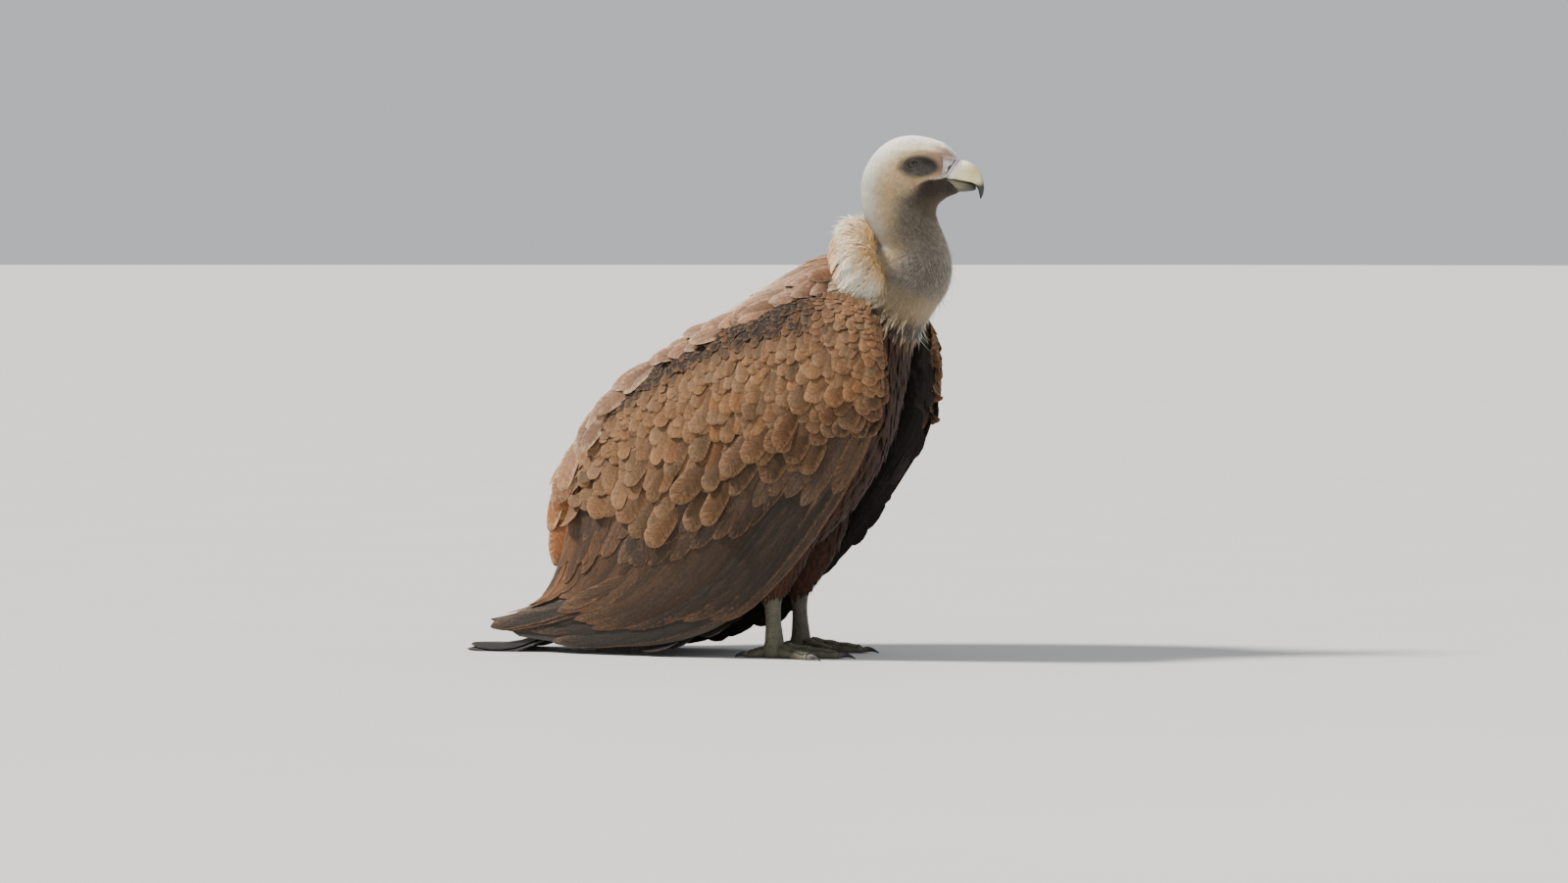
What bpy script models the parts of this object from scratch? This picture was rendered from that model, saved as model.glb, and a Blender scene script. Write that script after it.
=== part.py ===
"""Griffon vulture (Gyps fulvus), standing, life size, as a still model.

Metres, +Z up. The bird faces +X and its left side is +Y. Every measure below is taken from the
point on the floor midway between the feet. FEET_AT moves that point so that the origin is at the
bottom centre of the whole bird.

The body is one loft, from the base of the bill to the rump, parted with thin cuts into head, neck
and trunk. The wings are curved slabs spread between a front edge and a rear edge. The head is turned
to the bird's left, and the wing tips and the tail are laid back over the floor.
"""
import math

import bmesh
import bpy
import numpy as np

# ---------------------------------------------------------------- driving dimensions, in metres
GAP = 0.0003                # clear air in each cut between two pieces
CUT_GROWTH = 0.0005         # how far a cutter stands proud of the piece that it copies
FEET_AT = np.array([0.0997, 0.0, 0.0])

HEAD_TURN = math.radians(17.0)
TURN_AXIS_X = 0.147         # the head turns about the upright line through the top of the neck
TURN_FROM_Z = 0.47          # the neck starts to turn at this height
TURN_TO_Z = 0.61            # and has turned all the way at this one

FACE_X = 0.2085             # the upright cut between face and bill
# The cut's side view. Forehead and chin reach forward over and under the bill's base, so its upper
# edge falls gently from the face, and its lower one steeply.
BILL_ROOM = ((FACE_X, 0.6602), (0.2300, 0.6562), (0.2300, 0.6052), (FACE_X, 0.6275))
BILL_ROOM_OUT = 0.030       # how far the cut reaches to each side

# Stations of the body loft, from the bill to the rump: back point (x, z), belly point (x, z) and
# half width.
BODY_STATIONS = {
    "forehead_tip": ((0.2205, 0.6592), (0.2228, 0.6128), 0.0125),
    "bill_base": ((0.2105, 0.6702), (0.2095, 0.6075), 0.0180),
    "lores": ((0.1995, 0.6787), (0.2055, 0.6050), 0.0228),
    "brow": ((0.182, 0.6853), (0.1995, 0.6005), 0.0290),
    "crown": ((0.160, 0.6872), (0.1955, 0.5955), 0.0345),
    "rear_crown": ((0.138, 0.6820), (0.1935, 0.5910), 0.0375),
    "occiput": ((0.119, 0.6690), (0.1925, 0.5870), 0.0390),
    "nape_top": ((0.105, 0.6500), (0.1925, 0.5835), 0.0395),
    "nape": ((0.0975, 0.6290), (0.1935, 0.5780), 0.0395),
    "neck_top": ((0.0970, 0.6050), (0.1965, 0.5710), 0.0395),
    "neck_high": ((0.1010, 0.5820), (0.2010, 0.5610), 0.0405),
    "neck_mid": ((0.1090, 0.5600), (0.2070, 0.5470), 0.0420),
    "neck_low": ((0.1160, 0.5450), (0.2120, 0.5290), 0.0460),
    "crop_top": ((0.1080, 0.5370), (0.2140, 0.5050), 0.0530),
    "crop": ((0.0940, 0.5300), (0.2060, 0.4800), 0.0660),
    "crop_foot": ((0.0700, 0.5200), (0.1860, 0.4560), 0.0880),
    "breast_top": ((0.0350, 0.5010), (0.1630, 0.4250), 0.1080),
    "breast": ((-0.0100, 0.4720), (0.1500, 0.3750), 0.1230),
    "breast_low": ((-0.0550, 0.4420), (0.1400, 0.3200), 0.1280),
    "flank": ((-0.1050, 0.4050), (0.1200, 0.2620), 0.1260),
    "belly": ((-0.1500, 0.3650), (0.0850, 0.2050), 0.1180),
    "belly_low": ((-0.1850, 0.3180), (0.0400, 0.1580), 0.1030),
    "vent": ((-0.2000, 0.2650), (-0.0100, 0.1260), 0.0840),
    "rump": ((-0.2020, 0.2140), (-0.0650, 0.1070), 0.0620),
    "tail_base": ((-0.1950, 0.1740), (-0.1080, 0.1000), 0.0440),
}
HEAD_ENDS_AT = "nape"
NECK_ENDS_AT = "neck_low"
CROP_ENDS_AT = "crop_foot"

EYE_X = 0.1622
EYE_Z = 0.6508
EYE_OUT = 0.0235            # centre of the eyeball from the middle of the head
EYE_RADIUS = 0.0098
SOCKET_DEPTH = 0.0035
SOCKET_REACH = 0.016
EYE_POLE = 0.2              # the eyeball's rings stop this far (radians) from its poles

# The folded wing, seen from the side: (x, z) along its front edge from wrist to tip, along its top
# edge from wrist to elbow, and along its rear edge from elbow to tip.
WING_FRONT = (
    (0.156, 0.405), (0.157, 0.350), (0.141, 0.296), (0.112, 0.240), (0.060, 0.165), (0.000, 0.098),
    (-0.060, 0.048), (-0.135, 0.020), (-0.225, 0.011), (-0.310, 0.015), (-0.385, 0.022),
)
WING_TOP = (
    (0.156, 0.405), (0.150, 0.437), (0.126, 0.464), (0.087, 0.4745), (0.040, 0.470), (-0.035, 0.446),
    (-0.090, 0.420), (-0.150, 0.388), (-0.207, 0.347), (-0.250, 0.295),
)
WING_REAR = (
    (-0.250, 0.295), (-0.270, 0.238), (-0.286, 0.181), (-0.301, 0.130), (-0.322, 0.086),
    (-0.362, 0.056), (-0.425, 0.040),
)
# Distance of the wing from the middle plane at equal steps from shoulder to tip.
WING_FRONT_OUT = (0.121, 0.131, 0.129, 0.121, 0.111, 0.102, 0.089, 0.071, 0.046)
WING_REAR_OUT = (0.086, 0.084, 0.080, 0.074, 0.066, 0.057, 0.047, 0.038, 0.028)
WING_BULGE = (0.012, 0.030, 0.037, 0.038, 0.036, 0.030, 0.022, 0.012, 0.0)
WING_THICKNESS = (0.052, 0.050, 0.040, 0.028, 0.018, 0.012, 0.008, 0.006, 0.0045)
WING_EDGE = 0.0022          # thickness of the feathers' edges
WING_OUTER_SHARE = 0.40     # of the thickness, how much lies outside the middle surface
TOP_ROUNDING = 0.10         # share of the wing over which each edge rounds up to full thickness
FRONT_ROUNDING = 0.13
REAR_ROUNDING = 0.40
COVERTS_END = 0.50          # share of the way from shoulder to tip
HAND_SHARE = 0.24           # share of the way from front edge to rear edge
WING_CUT = 0.0014           # as a share of the wing, this leaves about one GAP
# The middle surface curls at its edges, so its normals are read between these shares only.
NORMALS_ALONG = (0.08, 0.94)
NORMALS_ACROSS = (0.10, 0.90)

# The mantle of long back feathers: ridge (x, z), half width and how far its sides hang.
MANTLE_STATIONS = (
    ((0.068, 0.5360), 0.072, 0.040),
    ((0.030, 0.5240), 0.098, 0.050),
    ((-0.042, 0.4800), 0.113, 0.037),
    ((-0.135, 0.4240), 0.112, 0.027),
    ((-0.185, 0.3900), 0.106, 0.025),
    ((-0.234, 0.3510), 0.097, 0.026),
    ((-0.277, 0.3070), 0.087, 0.028),
    ((-0.306, 0.2570), 0.077, 0.028),
    ((-0.322, 0.2160), 0.066, 0.026),
    ((-0.326, 0.1800), 0.050, 0.020),
)
MANTLE_THICKNESS = 0.016
MANTLE_THINS_FROM = 0.7     # share of the way from neck to tip
MANTLE_THINNING = 0.55      # share of its thickness lost by the tip
MANTLE_HEM = 0.003          # how much narrower the inner arc is, on each side
MANTLE_HEM_SHARE = 0.15     # of the thickness, how much is left at the hem

# The ruff: a horseshoe of loose feathers round the back and sides of the lower neck.
RUFF_SWEEP = math.radians(124.0)    # from the nape to each front end
RUFF_BACK = np.array([0.088, 0.541])
RUFF_FRONT = np.array([0.134, 0.464])
RUFF_OUT = 0.080
RUFF_TALL = 0.035
RUFF_THICK = 0.028
RUFF_TAPER = 0.55           # share of its thickness lost by the front ends
RUFF_DRAW_IN = 0.10         # how much closer to the neck the front ends lie

# The tail: top of its middle (x, z), half width and thickness.
TAIL_STATIONS = (
    ((-0.165, 0.1420), 0.034, 0.034),
    ((-0.205, 0.1080), 0.042, 0.022),
    ((-0.255, 0.0720), 0.048, 0.012),
    ((-0.310, 0.0400), 0.054, 0.008),
    ((-0.360, 0.0170), 0.060, 0.0070),
    ((-0.400, 0.0065), 0.064, 0.0068),
    ((-0.432, 0.0052), 0.058, 0.0062),
    ((-0.452, 0.0046), 0.038, 0.0052),
)
TAIL_ARCH = 0.010           # the sides of the tail hang this far below its middle
TAIL_EDGE_SHARE = 0.25      # of the thickness, how much is left at its sides

THIGH_STATIONS = (
    (np.array([-0.005, 0.062, 0.232]), 0.040, 0.034),
    (np.array([0.004, 0.068, 0.185]), 0.050, 0.039),
    (np.array([-0.002, 0.067, 0.138]), 0.042, 0.033),
    (np.array([-0.009, 0.063, 0.102]), 0.028, 0.023),
    (np.array([-0.0115, 0.061, 0.080]), 0.016, 0.014),
)
ANKLE = np.array([-0.0115, 0.061, 0.080])
FOOT_TOP = np.array([-0.0085, 0.060, 0.024])
TARSUS_RADIUS = 0.0112      # a mean: the joints are thicker and the shank between them is thinner
TARSUS_JOINT = 1.12
TARSUS_WAIST = 0.30
TARSUS_DEPTH = 1.12         # how much deeper it is, front to back, than wide
# The stump that carries the toes: height and radius of its rings, from the tarsus down.
FOOT_STUMP = ((0.0240, 0.0112), (0.0180, 0.0122), (0.0120, 0.0138), (0.0050, 0.0142), (-0.0039, 0.0100))
# Each toe: bearing from straight ahead (towards the outside), length and thickness at its root.
TOES = {
    "inner": (-34.0, 0.064, 0.0098),
    "middle": (-2.0, 0.088, 0.0102),
    "outer": (30.0, 0.066, 0.0092),
    "hind": (172.0, 0.036, 0.0090),
}
TOE_TIP_SHARE = 0.62        # thickness at the tip, as a share of that at the root
TOE_SINK = 0.42             # how far the toe's middle line sinks with its thinning, in radii
TOE_RISE = 0.004            # how much higher the toe leaves the foot
TOE_WIDTH = 0.92            # width over height
FLOOR_BITE = 0.0022         # how deep the soles would press without their flats
CLAW_LENGTH = 0.021
HIND_CLAW_SHARE = 0.75
CLAW_RADIUS = 0.0050
CLAW_THINNING = 0.85
CLAW_WIDTH = 0.85
CLAW_ARCH = 0.0022
CLAW_ABOVE_FLOOR = 0.0002

FLAT_POWER = 0.4            # squareness of the bill's meeting faces
# Each half of the bill: top (x, z), bottom (x, z) and half width, from face to tip.
UPPER_BILL_STATIONS = (
    ((FACE_X + GAP, 0.6595), (FACE_X + GAP, 0.6300), 0.0140),
    ((0.2180, 0.6580), (0.2180, 0.6290), 0.0138),
    ((0.2260, 0.6562), (0.2262, 0.6275), 0.0132),
    ((0.2340, 0.6548), (0.2335, 0.6262), 0.0126),
    ((0.2415, 0.6515), (0.2395, 0.6252), 0.0116),
    ((0.2480, 0.6455), (0.2430, 0.6240), 0.0102),
    ((0.2528, 0.6375), (0.2458, 0.6220), 0.0084),
    ((0.2560, 0.6290), (0.2482, 0.6185), 0.0064),
    ((0.2572, 0.6205), (0.2497, 0.6145), 0.0046),
    ((0.2562, 0.6120), (0.2507, 0.6100), 0.0028),
    ((0.2532, 0.6045), (0.2517, 0.6055), 0.0011),
)
LOWER_BILL_STATIONS = (
    ((FACE_X + GAP, 0.6292), (FACE_X + GAP, 0.6276), 0.0110),
    ((0.2150, 0.6287), (0.2150, 0.6213), 0.0113),
    ((0.2205, 0.6281), (0.2215, 0.6146), 0.0110),
    ((0.2300, 0.6262), (0.2310, 0.6138), 0.0098),
    ((0.2380, 0.6246), (0.2385, 0.6146), 0.0078),
    ((0.2435, 0.6226), (0.2440, 0.6156), 0.0050),
    ((0.2462, 0.6200), (0.2464, 0.6172), 0.0022),
)

COLOURS = {
    "down_white": ((0.78, 0.73, 0.62), 0.85),
    "down_grey": ((0.42, 0.36, 0.29), 0.85),
    "ruff_cream": ((0.72, 0.58, 0.38), 0.85),
    "back_buff": ((0.47, 0.36, 0.26), 0.80),
    "covert_tan": ((0.33, 0.22, 0.14), 0.80),
    "quill_brown": ((0.11, 0.07, 0.045), 0.70),
    "tail_black": ((0.03, 0.025, 0.022), 0.65),
    "breast_brown": ((0.24, 0.14, 0.09), 0.85),
    "leg_skin": ((0.30, 0.29, 0.24), 0.60),
    "horn_cream": ((0.72, 0.66, 0.48), 0.35),
    "horn_grey": ((0.20, 0.20, 0.17), 0.40),
    "claw_black": ((0.06, 0.055, 0.05), 0.40),
    "eye_amber": ((0.16, 0.11, 0.05), 0.08),
}


# ---------------------------------------------------------------- curves and surfaces
def smooth(points, shares):
    """Read a smooth curve through points spaced evenly from 0 to 1, at the given shares.

    Between two points it is the Catmull-Rom cubic, whose slope at each point is half the step from
    the point before to the point after.
    """
    points = np.asarray(points, float)
    last = len(points) - 1
    place = np.clip(np.asarray(shares, float), 0.0, 1.0) * last
    start = np.minimum(place.astype(int), last - 1)
    part = place - start
    if points.ndim > 1:
        part = part[..., None]
    here = points[start]
    after = points[start + 1]
    slope_here = (after - points[np.maximum(start - 1, 0)]) / 2
    slope_after = (points[np.minimum(start + 2, last)] - here) / 2
    return (
        here * (1 + 2 * part) * (1 - part) ** 2
        + slope_here * part * (1 - part) ** 2
        + after * part ** 2 * (3 - 2 * part)
        + slope_after * part ** 2 * (part - 1)
    )


def smoothstep(low, high, value):
    """Rise from 0 at low to 1 at high, level at both ends."""
    share = np.clip((np.asarray(value) - low) / (high - low), 0.0, 1.0)
    return share * share * (3 - 2 * share)


def turn_head(points):
    """Turn points about the neck's upright axis, more the higher they are, up to HEAD_TURN."""
    angle = HEAD_TURN * smoothstep(TURN_FROM_Z, TURN_TO_Z, points[..., 2])
    from_axis = points[..., 0] - TURN_AXIS_X
    turned = points.copy()
    turned[..., 0] = TURN_AXIS_X + from_axis * np.cos(angle) - points[..., 1] * np.sin(angle)
    turned[..., 1] = from_axis * np.sin(angle) + points[..., 1] * np.cos(angle)
    return turned


def oval_rings(tops, bottoms, half_widths, around, flat_side=0):
    """Ovals that reach from a top point to a bottom point and half_width to each side.

    The cosine that gives the height is raised to a power under 1 on the flat side, the top where
    flat_side is 1 and the bottom where it is -1, which squares off that half.
    """
    angle = np.linspace(0, 2 * np.pi, around, endpoint=False)
    rise = np.cos(angle)
    power = np.where(rise * flat_side > 0, FLAT_POWER, 1.0)
    rise = np.sign(rise) * np.abs(rise) ** power
    middle = (tops + bottoms) / 2
    reach = (tops - bottoms) / 2
    rings = np.empty((len(tops), around, 3))
    rings[..., 0] = middle[:, None, 0] + reach[:, None, 0] * rise
    rings[..., 2] = middle[:, None, 1] + reach[:, None, 1] * rise
    rings[..., 1] = np.asarray(half_widths)[:, None] * np.sin(angle)
    return rings


def tube_rings(centres, fore_radii, side_radii, around):
    """Rings round a path: fore_radii in the upright plane of the path, side_radii across it."""
    centres = np.asarray(centres, float)
    along = np.gradient(centres, axis=0)
    along /= np.linalg.norm(along, axis=1)[:, None]
    upright = np.cross(along, [0.0, 0.0, 1.0])
    steep = np.linalg.norm(upright, axis=1) < 1e-4
    upright[steep] = [0.0, 1.0, 0.0]
    side = upright / np.linalg.norm(upright, axis=1)[:, None]
    fore = np.cross(side, along)
    angle = np.linspace(0, 2 * np.pi, around, endpoint=False)[None, :, None]
    fore_part = np.cos(angle) * fore[:, None] * np.asarray(fore_radii)[:, None, None]
    side_part = np.sin(angle) * side[:, None] * np.asarray(side_radii)[:, None, None]
    return centres[:, None] + fore_part + side_part


# ---------------------------------------------------------------- making objects
def clear_scene():
    for old in list(bpy.data.objects):
        bpy.data.objects.remove(old, do_unlink=True)


def material(name):
    """The named colour as a Principled material, made once."""
    found = bpy.data.materials.get(name)
    if found:
        return found
    colour, roughness = COLOURS[name]
    made = bpy.data.materials.new(name)
    made.use_nodes = True
    shader = made.node_tree.nodes["Principled BSDF"]
    shader.inputs["Base Color"].default_value = (*colour, 1.0)
    shader.inputs["Roughness"].default_value = roughness
    shader.inputs["Metallic"].default_value = 0.0
    return made


def close_round(build, ring):
    """Close a round end with a fan about its middle."""
    middle = build.verts.new(np.mean([corner.co for corner in ring], axis=0))
    for here, corner in enumerate(ring):
        build.faces.new((corner, ring[(here + 1) % len(ring)], middle))


def close_flat(build, ring):
    """Close a thin curved end with a ladder from its outer half to its inner half."""
    half = len(ring) // 2
    inner = ring[:half - 1:-1]
    for here in range(half - 1):
        build.faces.new((ring[here], ring[here + 1], inner[here + 1], inner[here]))


def piece(name, rings, colour, parent, close=close_round):
    """Skin a stack of closed rings, close both ends, and hang it on the parent."""
    count, around = rings.shape[:2]
    build = bmesh.new()
    corners = [[build.verts.new(point) for point in ring] for ring in rings]
    for low, high in zip(corners[:-1], corners[1:]):
        for here in range(around):
            beside = (here + 1) % around
            build.faces.new((low[here], low[beside], high[beside], high[here]))
    close(build, corners[0])
    close(build, corners[-1])
    bmesh.ops.triangulate(build, faces=build.faces)
    bmesh.ops.recalc_face_normals(build, faces=build.faces)
    mesh = bpy.data.meshes.new(name)
    build.to_mesh(mesh)
    build.free()
    mesh.materials.append(material(colour))
    mesh.shade_smooth()
    made = bpy.data.objects.new(name, mesh)
    bpy.context.scene.collection.objects.link(made)
    made.parent = parent
    return made


def as_cutter(made):
    made.hide_render = True
    made.display_type = "WIRE"
    return made


def grown(made, growth=CUT_GROWTH):
    """A cutter in the shape of a piece, a little larger all round."""
    mesh = made.data.copy()
    mesh.name = made.name + "_room"
    points = np.empty(len(mesh.vertices) * 3)
    mesh.vertices.foreach_get("co", points)
    normals = np.array([vertex.normal[:] for vertex in mesh.vertices])
    mesh.vertices.foreach_set("co", (points.reshape(-1, 3) + growth * normals).ravel())
    room = bpy.data.objects.new(mesh.name, mesh)
    bpy.context.scene.collection.objects.link(room)
    room.parent = made.parent
    return as_cutter(room)


def combine(made, other, operation):
    step = made.modifiers.new(f"{operation.lower()}_{other.name}", "BOOLEAN")
    step.operation = operation
    step.solver = "EXACT"
    step.object = other


def floor_cutter(parent):
    """A block whose top is the floor, which gives the soles and the tail their flats."""
    mesh = bpy.data.meshes.new("floor_block")
    build = bmesh.new()
    bmesh.ops.create_cube(build, size=1.0)
    for corner in build.verts:
        corner.co.z = corner.co.z * 0.1 - 0.05
        corner.co.x *= 1.6
    build.to_mesh(mesh)
    build.free()
    block = bpy.data.objects.new("floor_block", mesh)
    bpy.context.scene.collection.objects.link(block)
    block.parent = parent
    return as_cutter(block)


# ---------------------------------------------------------------- head, neck and trunk
def body_rings(first, last, between, around, start_gap=0.0):
    """Rings of the body loft from one named station to another, between of them to each station."""
    names = list(BODY_STATIONS)
    tops = np.array([BODY_STATIONS[name][0] for name in names])
    bottoms = np.array([BODY_STATIONS[name][1] for name in names])
    widths = np.array([BODY_STATIONS[name][2] for name in names])
    low = names.index(first)
    high = names.index(last)
    places = np.linspace(low, high, (high - low) * between + 1)
    spacing = np.linalg.norm(np.diff((tops + bottoms) / 2, axis=0), axis=1)
    places[0] += start_gap / spacing[low]
    shares = places / (len(names) - 1)
    rings = oval_rings(smooth(tops, shares), smooth(bottoms, shares), smooth(widths, shares), around)
    return turn_head(rings)


def sink_sockets(made):
    """Press a shallow hollow round each eye."""
    for vertex in made.data.vertices:
        point = vertex.co
        for side in (-1, 1):
            eye = eye_centre(side)
            distance = math.dist(point, eye)
            depth = SOCKET_DEPTH * math.exp(-(distance / SOCKET_REACH) ** 2)
            point.y -= side * depth * math.cos(HEAD_TURN)
            point.x += side * depth * math.sin(HEAD_TURN)


def eye_centre(side):
    return turn_head(np.array([[EYE_X, side * EYE_OUT, EYE_Z]]))[0]


def bill_room(parent):
    """A prism across the head that clears the bill's base, between forehead and chin."""
    outline = np.array([(x, 0.0, z) for x, z in BILL_ROOM])
    aside = np.array([0.0, BILL_ROOM_OUT, 0.0])
    return as_cutter(piece("bill_room", turn_head(np.stack([outline - aside, outline + aside])),
                           "horn_cream", parent, close_flat))


def head(parent):
    made = piece("head", body_rings("forehead_tip", HEAD_ENDS_AT, 2, 20), "down_white", parent)
    sink_sockets(made)
    combine(made, bill_room(parent), "DIFFERENCE")
    return made


def eye(name, side, parent):
    """A ball built as rings from its top to its bottom."""
    rise = np.linspace(EYE_POLE, math.pi - EYE_POLE, 8)
    centre = eye_centre(side)
    centres = centre + np.array([0.0, 0.0, 1.0]) * (EYE_RADIUS * np.cos(rise))[:, None]
    radii = EYE_RADIUS * np.sin(rise)
    return piece(name, tube_rings(centres, radii, radii, 12), "eye_amber", parent)


def bill_half(name, stations, flat_side, colour, parent):
    """Half of the bill, with a flat face where the two halves meet."""
    tops = np.array([station[0] for station in stations])
    bottoms = np.array([station[1] for station in stations])
    widths = np.array([station[2] for station in stations])
    rings = oval_rings(tops, bottoms, widths, 16, flat_side)
    return piece(name, turn_head(rings), colour, parent)


# ---------------------------------------------------------------- ruff and mantle
def ruff(parent):
    """Rings carried round the neck from one front end, over the nape, to the other front end."""
    bearing = np.linspace(-RUFF_SWEEP, RUFF_SWEEP, 17)
    forward = (1 - np.cos(bearing)) / (1 - math.cos(RUFF_SWEEP))
    spine = RUFF_BACK + (RUFF_FRONT - RUFF_BACK) * forward[:, None]
    out = RUFF_OUT * np.sin(bearing) * (1 - RUFF_DRAW_IN * forward)
    centres = np.stack([spine[:, 0], out, spine[:, 1]], axis=1)
    taper = 1 - RUFF_TAPER * np.abs(bearing / RUFF_SWEEP) ** 4
    rings = tube_rings(centres, RUFF_TALL * taper, RUFF_THICK * taper, 10)
    return piece("ruff", rings, "ruff_cream", parent)


def mantle(parent):
    """Roof-shaped rings: an outer arc over the back and an inner arc one thickness below it."""
    ridges = np.array([station[0] for station in MANTLE_STATIONS])
    half_widths = np.array([station[1] for station in MANTLE_STATIONS])
    drops = np.array([station[2] for station in MANTLE_STATIONS])
    shares = np.linspace(0, 1, 14)
    ridge = smooth(ridges, shares)
    half_width = smooth(half_widths, shares)
    drop = smooth(drops, shares)
    along = np.gradient(ridge, axis=0)
    along /= np.linalg.norm(along, axis=1)[:, None]
    outward = np.stack([along[:, 1], -along[:, 0]], axis=1)
    lean = np.linspace(-math.pi / 2, math.pi / 2, 11)
    depth = MANTLE_THICKNESS * (1 - MANTLE_THINNING * smoothstep(MANTLE_THINS_FROM, 1.0, shares))
    hem = MANTLE_HEM_SHARE + (1 - MANTLE_HEM_SHARE) * np.cos(lean[::-1])
    rings = []
    for k in range(len(shares)):
        outer_out = half_width[k] * np.sin(lean)
        outer_down = drop[k] * (1 - np.cos(lean))
        inner_out = (half_width[k] - MANTLE_HEM) * np.sin(lean[::-1])
        inner_down = outer_down[::-1] + depth[k] * hem
        out = np.concatenate([outer_out, inner_out])
        down = np.concatenate([outer_down, inner_down])
        spot = ridge[k] - outward[k] * down[:, None]
        rings.append(np.stack([spot[:, 0], out, spot[:, 1]], axis=1))
    return piece("mantle", np.array(rings), "back_buff", parent, close_flat)


# ---------------------------------------------------------------- wings
def wing_side_view(along, across):
    """The (x, z) of the folded wing: a Coons patch between its front, top and rear edges.

    along runs from shoulder (0) to tip (1), and across from front edge (0) to rear edge (1).
    """
    front = smooth(WING_FRONT, along)
    rear = smooth(WING_REAR, along)
    top = smooth(WING_TOP, across)
    tips = smooth((WING_FRONT[-1], WING_REAR[-1]), across)
    s = along[..., None]
    t = across[..., None]
    corners = (
        (1 - s) * (1 - t) * np.array(WING_FRONT[0]) + (1 - s) * t * np.array(WING_REAR[0])
        + s * (1 - t) * np.array(WING_FRONT[-1]) + s * t * np.array(WING_REAR[-1])
    )
    return (1 - t) * front + t * rear + (1 - s) * top + s * tips - corners


def wing_middle(along, across):
    """Points of the wing's middle surface on the left side."""
    flat = wing_side_view(along, across)
    out = (
        (1 - across) * smooth(WING_FRONT_OUT, along) + across * smooth(WING_REAR_OUT, along)
        + smooth(WING_BULGE, along) * np.sin(np.pi * across)
    )
    return np.stack([flat[..., 0], out, flat[..., 1]], axis=-1)


def wing_normals(along, across):
    """Unit normals of the middle surface, pointing away from the body."""
    step = 1e-3
    by_along = wing_middle(along + step, across) - wing_middle(along - step, across)
    by_across = wing_middle(along, across + step) - wing_middle(along, across - step)
    normal = np.cross(by_across, by_along)
    return normal / np.linalg.norm(normal, axis=-1)[..., None]


def rounding(share):
    """A quarter circle: 0 at the edge, 1 where share reaches 1 and beyond."""
    return np.sqrt(1 - (1 - np.clip(share, 0, 1)) ** 2)


def wing_thickness(along, across):
    """Thickest at the arm, thinning to the feathers' edges at front, rear, top and tip."""
    edges = (
        rounding(along / TOP_ROUNDING) * rounding(across / FRONT_ROUNDING)
        * rounding((1 - across) / REAR_ROUNDING)
    )
    return WING_EDGE + (smooth(WING_THICKNESS, along) - WING_EDGE) * edges


def wing_slab(name, side, along, across, colour, parent):
    """One parcel of the wing as rings: across its outer face and back across its inner face."""
    along, across = np.meshgrid(along, across, indexing="ij")
    middle = wing_middle(along, across)
    through = wing_normals(np.clip(along, *NORMALS_ALONG), np.clip(across, *NORMALS_ACROSS))
    through *= wing_thickness(along, across)[..., None]
    outer = middle + through * WING_OUTER_SHARE
    inner = middle - through * (1 - WING_OUTER_SHARE)
    rings = np.concatenate([outer, inner[:, ::-1]], axis=1)
    rings[..., 1] *= side
    return piece(name, rings, colour, parent, close_flat)


def wing(word, side, parent):
    """The folded wing in three pieces: coverts over the arm, secondaries and primaries."""
    cut = WING_CUT / 2
    over_arm = COVERTS_END * np.linspace(0, 1, 11) ** 1.3
    to_tip = np.linspace(COVERTS_END, 1, 10)
    over_hand = np.linspace(0, HAND_SHARE, 4)
    to_rear = np.linspace(HAND_SHARE, 1, 8)
    all_across = np.concatenate([over_hand, to_rear[1:]])
    over_arm[-1] -= cut
    to_tip[0] += cut
    over_hand[-1] -= cut
    to_rear[0] += cut
    return [
        wing_slab(f"wing_{word}_coverts", side, over_arm, all_across, "covert_tan", parent),
        wing_slab(f"wing_{word}_primaries", side, to_tip, over_hand, "quill_brown", parent),
        wing_slab(f"wing_{word}_secondaries", side, to_tip, to_rear, "quill_brown", parent),
    ]


# ---------------------------------------------------------------- tail
def tail(parent):
    """Flat rings whose sides hang a little below the middle."""
    tops = np.array([station[0] for station in TAIL_STATIONS])
    half_widths = np.array([station[1] for station in TAIL_STATIONS])
    thicknesses = np.array([station[2] for station in TAIL_STATIONS])
    shares = np.linspace(0, 1, 12)
    top = smooth(tops, shares)
    half_width = smooth(half_widths, shares)
    thickness = smooth(thicknesses, shares)
    across = np.linspace(-1, 1, 7)
    rings = []
    for k in range(len(shares)):
        arch = TAIL_ARCH * (1 - smoothstep(0.55, 0.85, shares[k])) * across ** 2
        edge = TAIL_EDGE_SHARE + (1 - TAIL_EDGE_SHARE) * np.sqrt(1 - (0.98 * across) ** 2)
        upper = top[k, 1] - arch - thickness[k] * 0.5 * (1 - edge)
        lower = top[k, 1] - arch - thickness[k] * 0.5 * (1 + edge)
        out = half_width[k] * across
        x = np.full(len(across), top[k, 0])
        rings.append(np.concatenate([
            np.stack([x, out, upper], axis=1),
            np.stack([x, out, lower], axis=1)[::-1],
        ]))
    return piece("tail", np.array(rings), "tail_black", parent, close_flat)


# ---------------------------------------------------------------- legs and feet
def mirrored(point, side):
    return np.array([point[0], point[1] * side, point[2]])


def thigh(word, side, parent):
    centres = np.array([mirrored(station[0], side) for station in THIGH_STATIONS])
    shares = np.linspace(0, 1, 8)
    fore = smooth(np.array([station[1] for station in THIGH_STATIONS]), shares)
    across = smooth(np.array([station[2] for station in THIGH_STATIONS]), shares)
    path = smooth(centres, shares)
    angle = np.linspace(0, 2 * np.pi, 16, endpoint=False)
    rings = np.repeat(path[:, None], 16, axis=1)
    rings[..., 0] += fore[:, None] * np.cos(angle)
    rings[..., 1] += across[:, None] * np.sin(angle)
    return piece(f"thigh_{word}", rings, "breast_brown", parent)


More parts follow.
